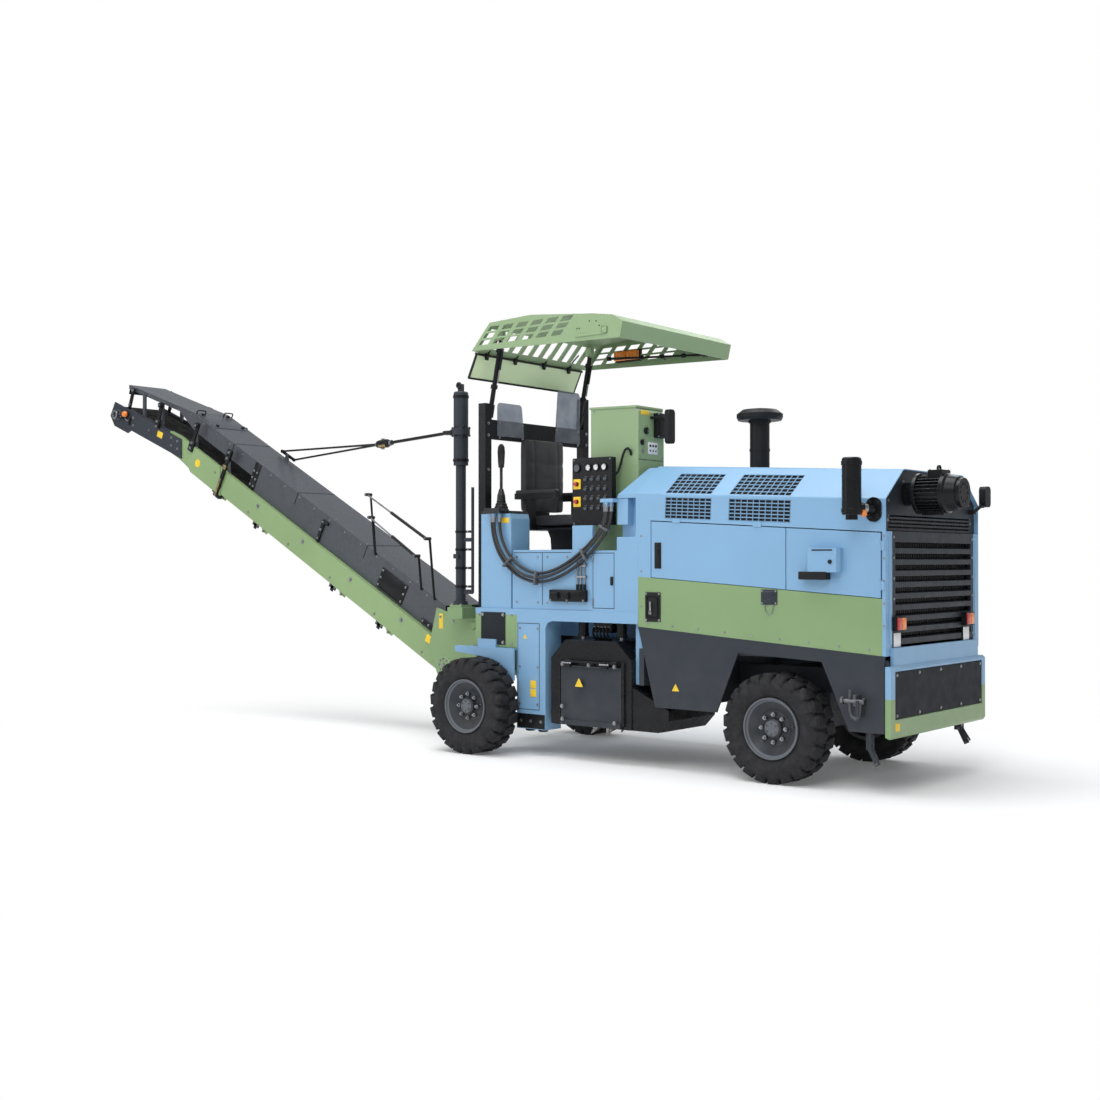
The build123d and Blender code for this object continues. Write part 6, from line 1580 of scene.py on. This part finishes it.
def make_leg_guard():
    """The green guard in front of the right rear leg, with its dark cover plate, and the column's feet."""
    green, plate, bolts, feet = (bmesh.new() for _ in range(4))
    add_block(green, (-2.560, -0.6995, 0.772), (-2.1505, -0.6915, 1.039), 0.002)
    add_block(green, (-2.560, -0.6935, 0.772), (-2.552, -0.6400, 1.039), 0.002)
    add_block(plate, (-2.500, -0.7055, 0.790), (-2.262, -0.6985, 1.030), 0.002)
    out = (0, -1, 0)
    add_bolts(bolts, [(x, -0.7055, z) for x in (-2.482, -2.280) for z in (0.808, 1.012)], out, 0.010, 0.009)
    add_bolts(bolts, [(x, -0.6995, z) for x in (-2.520, -2.200) for z in (0.800, 1.010)], out, 0.007, 0.006)
    add_bolts(bolts, [(x, -0.7035, 0.248) for x in (-2.110, -2.015, -1.920)], out, 0.009, 0.008)
    foot = [(0.0, 0.0), (0.0, 0.036), (0.016, 0.036), (0.020, 0.030), (0.020, 0.0)]
    for x in (-2.070, -1.950):
        add_turned(feet, (x, -0.640, 0.191), (0, 0, -1), foot, 28)
    add_block(feet, (-2.145, -0.7035, 0.196), (-1.885, -0.6990, 0.300), 0.002)
    make_piece("leg_guard", green, "chassis", green_paint)
    make_piece("leg_guard_plate", plate, "chassis", panel_paint)
    make_piece("leg_guard_bolts", bolts, "chassis", bright_steel)
    make_piece("column_feet", feet, "chassis", black_paint)


def make_bay_gear():
    """Lift cylinders, a valve manifold, rigid pipes and the oil tank in the open bay under the deck."""
    black, chrome = bmesh.new(), bmesh.new()
    cylinder = [(0.0, 0.0), (0.0, 0.036), (0.120, 0.036), (0.122, 0.040), (0.140, 0.040), (0.142, 0.020),
                (0.142, 0.0)]
    for x, y in ((-1.640, -0.560), (-1.300, -0.560), (-1.640, -0.220), (-1.300, -0.220)):
        add_turned(black, (x, y, 1.012), (0, 0, -1), cylinder, 28)
        add_rod(chrome, (x, y, 0.880), (x, y, 0.785), 0.0165, 24)
        add_rod(black, (x - 0.030, y, 0.790), (x + 0.030, y, 0.790), 0.020, 20)
    y = -0.500
    add_block(black, (-1.560, y - 0.045, 0.900), (-1.400, y + 0.045, 1.005), 0.006)
    for n in range(5):
        x = -1.540 + n * 0.031
        add_rod(chrome, (x, y - 0.045, 0.935), (x, y - 0.060, 0.935), 0.011, 6)
        path = [(x, y - 0.058, 0.935), (x, y - 0.078, 0.925), (x + 0.004, y - 0.084, 0.890),
                (x + 0.012, y - 0.070, 0.860), (x + 0.018, y - 0.040, 0.845)]
        add_bent_bar(black, path, 0.0075, balls=12)
    # oil tank under the deck, past the milling housing
    add_block(black, (-1.780, 0.060, 0.640), (-1.180, 0.420, 1.020), 0.020, 3)
    add_block(black, (-2.400, 0.060, 0.700), (-1.860, 0.240, 1.020), 0.015, 3)
    add_rod(black, (-1.870, 0.150, 0.900), (-1.770, 0.150, 0.900), 0.022, 20)
    for y, side in ((0.060, -1), (0.420, 1)):
        add_bolts(chrome, [(x, y, 0.975) for x in (-1.740, -1.480, -1.220)], (0, side, 0), 0.010, 0.008)
    make_piece("bay_gear", black, "chassis", black_paint)
    make_piece("bay_rods", chrome, "chassis", bright_steel)


def make_skirt_fittings():
    """Shackles with their pins and the flat links that hang under the nose."""
    shackle, pins, link = bmesh.new(), bmesh.new(), bmesh.new()
    bow = [(0.556, 0.628), (0.552, 0.560), (0.556, 0.500), (0.570, 0.465), (0.590, 0.456), (0.610, 0.468),
           (0.620, 0.500), (0.620, 0.560)]
    pin_z, hook_x, hook_z = 0.562, 0.645, 0.276
    for side in (-1, 1):
        y = side * 0.752
        add_rod(pins, (0.505, y, pin_z), (0.650, y, pin_z), 0.0125, 18)
        add_rod(pins, (0.497, y, pin_z), (0.513, y, pin_z), 0.024, 6)
        add_rod(pins, (0.640, y, pin_z), (0.654, y, pin_z), 0.022, 6)
        add_block(shackle, (0.575, side * 0.700, 0.530), (0.595, side * 0.758, 0.600), 0.004)
        add_bent_bar(shackle, [(x, y, z) for x, z in bow], 0.0105, 14, balls=14)
        # a fixed link under the nose and a loose one that swings from it
        y = side * 0.655
        add_block(link, (0.612, y - 0.006, 0.262), (0.664, y + 0.006, 0.372), 0.003)
        made = add_block(link, (-0.020, -0.006, -0.115), (0.020, 0.006, 0.012), 0.005)
        loose_y = y + side * 0.012
        swing = Matrix.Translation((hook_x, loose_y, hook_z)) @ Matrix.Rotation(radians(-27), 4, "Y")
        bmesh.ops.transform(link, matrix=swing, verts=made)
        add_rod(pins, (hook_x, y - 0.016, hook_z), (hook_x, y + 0.016, hook_z), 0.010, 16)
        add_rod(pins, (0.692, loose_y - 0.014, 0.182), (0.692, loose_y + 0.014, 0.182), 0.007, 12)
    make_piece("shackles", shackle, "chassis", casting)
    make_piece("shackle_pins", pins, "chassis", dull_steel)
    make_piece("hanging_links", link, "chassis", grey_paint)


def make_wall_pipes():
    """Three steel pipes down the stand's wall into a small valve block, with their clips."""
    pipes, block, clips = bmesh.new(), bmesh.new(), bmesh.new()
    y = -0.7005
    for x in (-1.590, -1.558, -1.526):
        add_bent_bar(pipes, [(x - 0.012, y, 1.445), (x, y, 1.400), (x + 0.004, y, 1.215)], 0.006)
        add_rod(block, (x + 0.004, y, 1.245), (x + 0.004, y, 1.205), 0.0105, 6)
    add_block(block, (-1.830, -0.722, 1.120), (-1.500, -0.689, 1.205), 0.006)
    add_block(block, (-1.815, -0.738, 1.138), (-1.740, -0.720, 1.190), 0.005)
    add_block(block, (-1.700, -0.738, 1.138), (-1.640, -0.720, 1.190), 0.005)
    for z in (1.290, 1.370):
        add_block(clips, (-1.605, -0.711, z), (-1.505, -0.6895, z + 0.014), 0.003)
    add_bolts(clips, [(x, -0.722, 1.130) for x in (-1.815, -1.665, -1.520)], (0, -1, 0), 0.006, 0.005)
    make_piece("wall_pipes", pipes, "chassis", bright_steel)
    make_piece("valve_block", block, "chassis", black_paint)
    make_piece("pipe_clips", clips, "chassis", bright_steel)


def make_mirror_glass():
    """Glass set in the two mirrors' rear faces."""
    glass = bmesh.new()
    add_block(glass, (0.7825, 0.675, 1.785), (0.7845, 0.749, 1.899), 0.0006)
    add_block(glass, (-1.0465, -0.397, 2.240), (-1.0445, -0.333, 2.460), 0.0006)
    make_piece("mirror_glasses", glass, "chassis", glass_mirror)


def make_guard_fittings():
    """Bolts of the guard's posts and cross panel, and the screens' screws."""
    bolts = bmesh.new()
    posts = [(y, z) for y in (-0.600, 0.600) for z in (1.180, 1.560, 1.760, 2.100, 2.360, 2.450)]
    add_bolts(bolts, [(-2.520, y, z) for y, z in posts], (1, 0, 0), 0.009, 0.008)
    add_bolts(bolts, [(-2.590, y, z) for y, z in posts], (-1, 0, 0), 0.009, 0.008)
    panel = [(-2.514, y, z) for y in (-0.480, -0.210, 0.210, 0.480) for z in (2.350, 2.460)]
    add_bolts(bolts, panel, (1, 0, 0), 0.007, 0.006)
    make_piece("guard_bolts", bolts, "chassis", bright_steel)


for build in (make_cover_fittings, make_clamps, make_head_fittings, make_roller_brackets,
              make_beam_labels, make_feed_end, make_cover_stays, make_mast_fittings, make_stay_fittings,
              make_carrier_fittings, make_canopy_fittings, make_milling_fittings, make_column_fittings,
              make_leg_guard, make_bay_gear, make_skirt_fittings, make_wall_pipes, make_mirror_glass,
              make_guard_fittings):
    build()


# ================================================================ camera, floor and light
CAMERA_PLACE = (4.498, -8.429, 1.413)
CAMERA_TURN = (radians(90.43), 0.0, radians(39.34))
CAMERA_LENS = 45.56
FLOOR_MIDDLE = (-1.6, 0.0)
FLOOR_NEAR = 3.2
FLOOR_FAR = 5.6
FLOOR_GLOW = 0.09
FLOOR_PAINT = (0.92, 0.92, 0.92, 1.0)
WHITE = (1.0, 1.0, 1.0, 1.0)
SKY = (0.95, 0.97, 1.0, 1.0)
SKY_STRENGTH = 0.42
# (name, place, aim, size, watts)
LAMPS = (
    ("key", (3.0, -9.0, 9.5), (-2.5, 0.0, 1.0), 7.0, 520.0),
    ("fill", (-9.0, -9.0, 6.0), (-3.0, 0.0, 1.5), 8.0, 250.0),
    ("top", (-2.5, -1.5, 12.0), (-2.5, 0.0, 1.0), 9.0, 950.0),
    ("back", (-2.0, 9.0, 8.0), (-3.0, 0.0, 1.5), 8.0, 300.0),
)


def make_camera():
    """The camera, low beside the machine's nose."""
    lens = bpy.data.cameras.new("camera")
    lens.sensor_width = 36.0
    lens.lens = CAMERA_LENS
    camera = bpy.data.objects.new("camera", lens)
    camera.location = CAMERA_PLACE
    camera.rotation_euler = CAMERA_TURN
    scene.collection.objects.link(camera)
    scene.camera = camera


def make_floor():
    """A floor that takes the shadows near the machine and fades to plain white away from it."""
    bm = bmesh.new()
    bmesh.ops.create_grid(bm, x_segments=1, y_segments=1, size=60.0)
    mesh = bpy.data.meshes.new("floor")
    bm.to_mesh(mesh)
    bm.free()
    floor = bpy.data.objects.new("floor", mesh)
    scene.collection.objects.link(floor)
    material = bpy.data.materials.new("pale_floor")
    material.use_nodes = True
    nodes, links = material.node_tree.nodes, material.node_tree.links
    nodes.clear()
    place = nodes.new("ShaderNodeTexCoord")
    centred = nodes.new("ShaderNodeVectorMath")
    centred.operation = "SUBTRACT"
    centred.inputs[1].default_value = (*FLOOR_MIDDLE, 0.0)
    links.new(place.outputs["Object"], centred.inputs[0])
    reach = nodes.new("ShaderNodeVectorMath")
    reach.operation = "LENGTH"
    links.new(centred.outputs["Vector"], reach.inputs[0])
    fade = nodes.new("ShaderNodeMapRange")
    fade.interpolation_type = "SMOOTHSTEP"
    fade.inputs["From Min"].default_value = FLOOR_NEAR
    fade.inputs["From Max"].default_value = FLOOR_FAR
    fade.inputs["To Min"].default_value = FLOOR_GLOW
    links.new(reach.outputs["Value"], fade.inputs["Value"])
    matt = nodes.new("ShaderNodeBsdfDiffuse")
    matt.inputs["Color"].default_value = FLOOR_PAINT
    plain = nodes.new("ShaderNodeEmission")
    plain.inputs["Color"].default_value = WHITE
    plain.inputs["Strength"].default_value = 1.0
    mix = nodes.new("ShaderNodeMixShader")
    links.new(fade.outputs["Result"], mix.inputs["Fac"])
    links.new(matt.outputs["BSDF"], mix.inputs[1])
    links.new(plain.outputs["Emission"], mix.inputs[2])
    out = nodes.new("ShaderNodeOutputMaterial")
    links.new(mix.outputs["Shader"], out.inputs["Surface"])
    mesh.materials.append(material)


def make_light():
    """A pale studio: what the camera and glass see is near white, what lights the object and shows in its
    gloss is plain.
    """
    world = bpy.data.worlds.new("studio")
    world.use_nodes = True
    scene.world = world
    nodes, links = world.node_tree.nodes, world.node_tree.links
    nodes.clear()
    out = nodes.new("ShaderNodeOutputWorld")
    seen, lit = nodes.new("ShaderNodeBackground"), nodes.new("ShaderNodeBackground")
    for node, colour, strength in ((seen, WHITE, 1.0), (lit, SKY, SKY_STRENGTH)):
        node.inputs["Color"].default_value = colour
        node.inputs["Strength"].default_value = strength
    mix = nodes.new("ShaderNodeMixShader")
    path = nodes.new("ShaderNodeLightPath")
    direct = nodes.new("ShaderNodeMath")
    direct.operation = "MAXIMUM"
    links.new(path.outputs["Is Camera Ray"], direct.inputs[0])
    links.new(path.outputs["Is Transmission Ray"], direct.inputs[1])
    links.new(direct.outputs[0], mix.inputs["Fac"])
    links.new(lit.outputs[0], mix.inputs[1])
    links.new(seen.outputs[0], mix.inputs[2])
    links.new(mix.outputs[0], out.inputs["Surface"])
    for name, place, aim, size, watts in LAMPS:
        lamp = bpy.data.lights.new(name, "AREA")
        lamp.shape = "DISK"
        lamp.size = size
        lamp.energy = watts
        holder = bpy.data.objects.new(name, lamp)
        holder.location = place
        holder.rotation_euler = (Vector(aim) - Vector(place)).to_track_quat("-Z", "Y").to_euler()
        scene.collection.objects.link(holder)


scene.view_settings.view_transform = "Standard"
make_camera()
make_floor()
make_light()
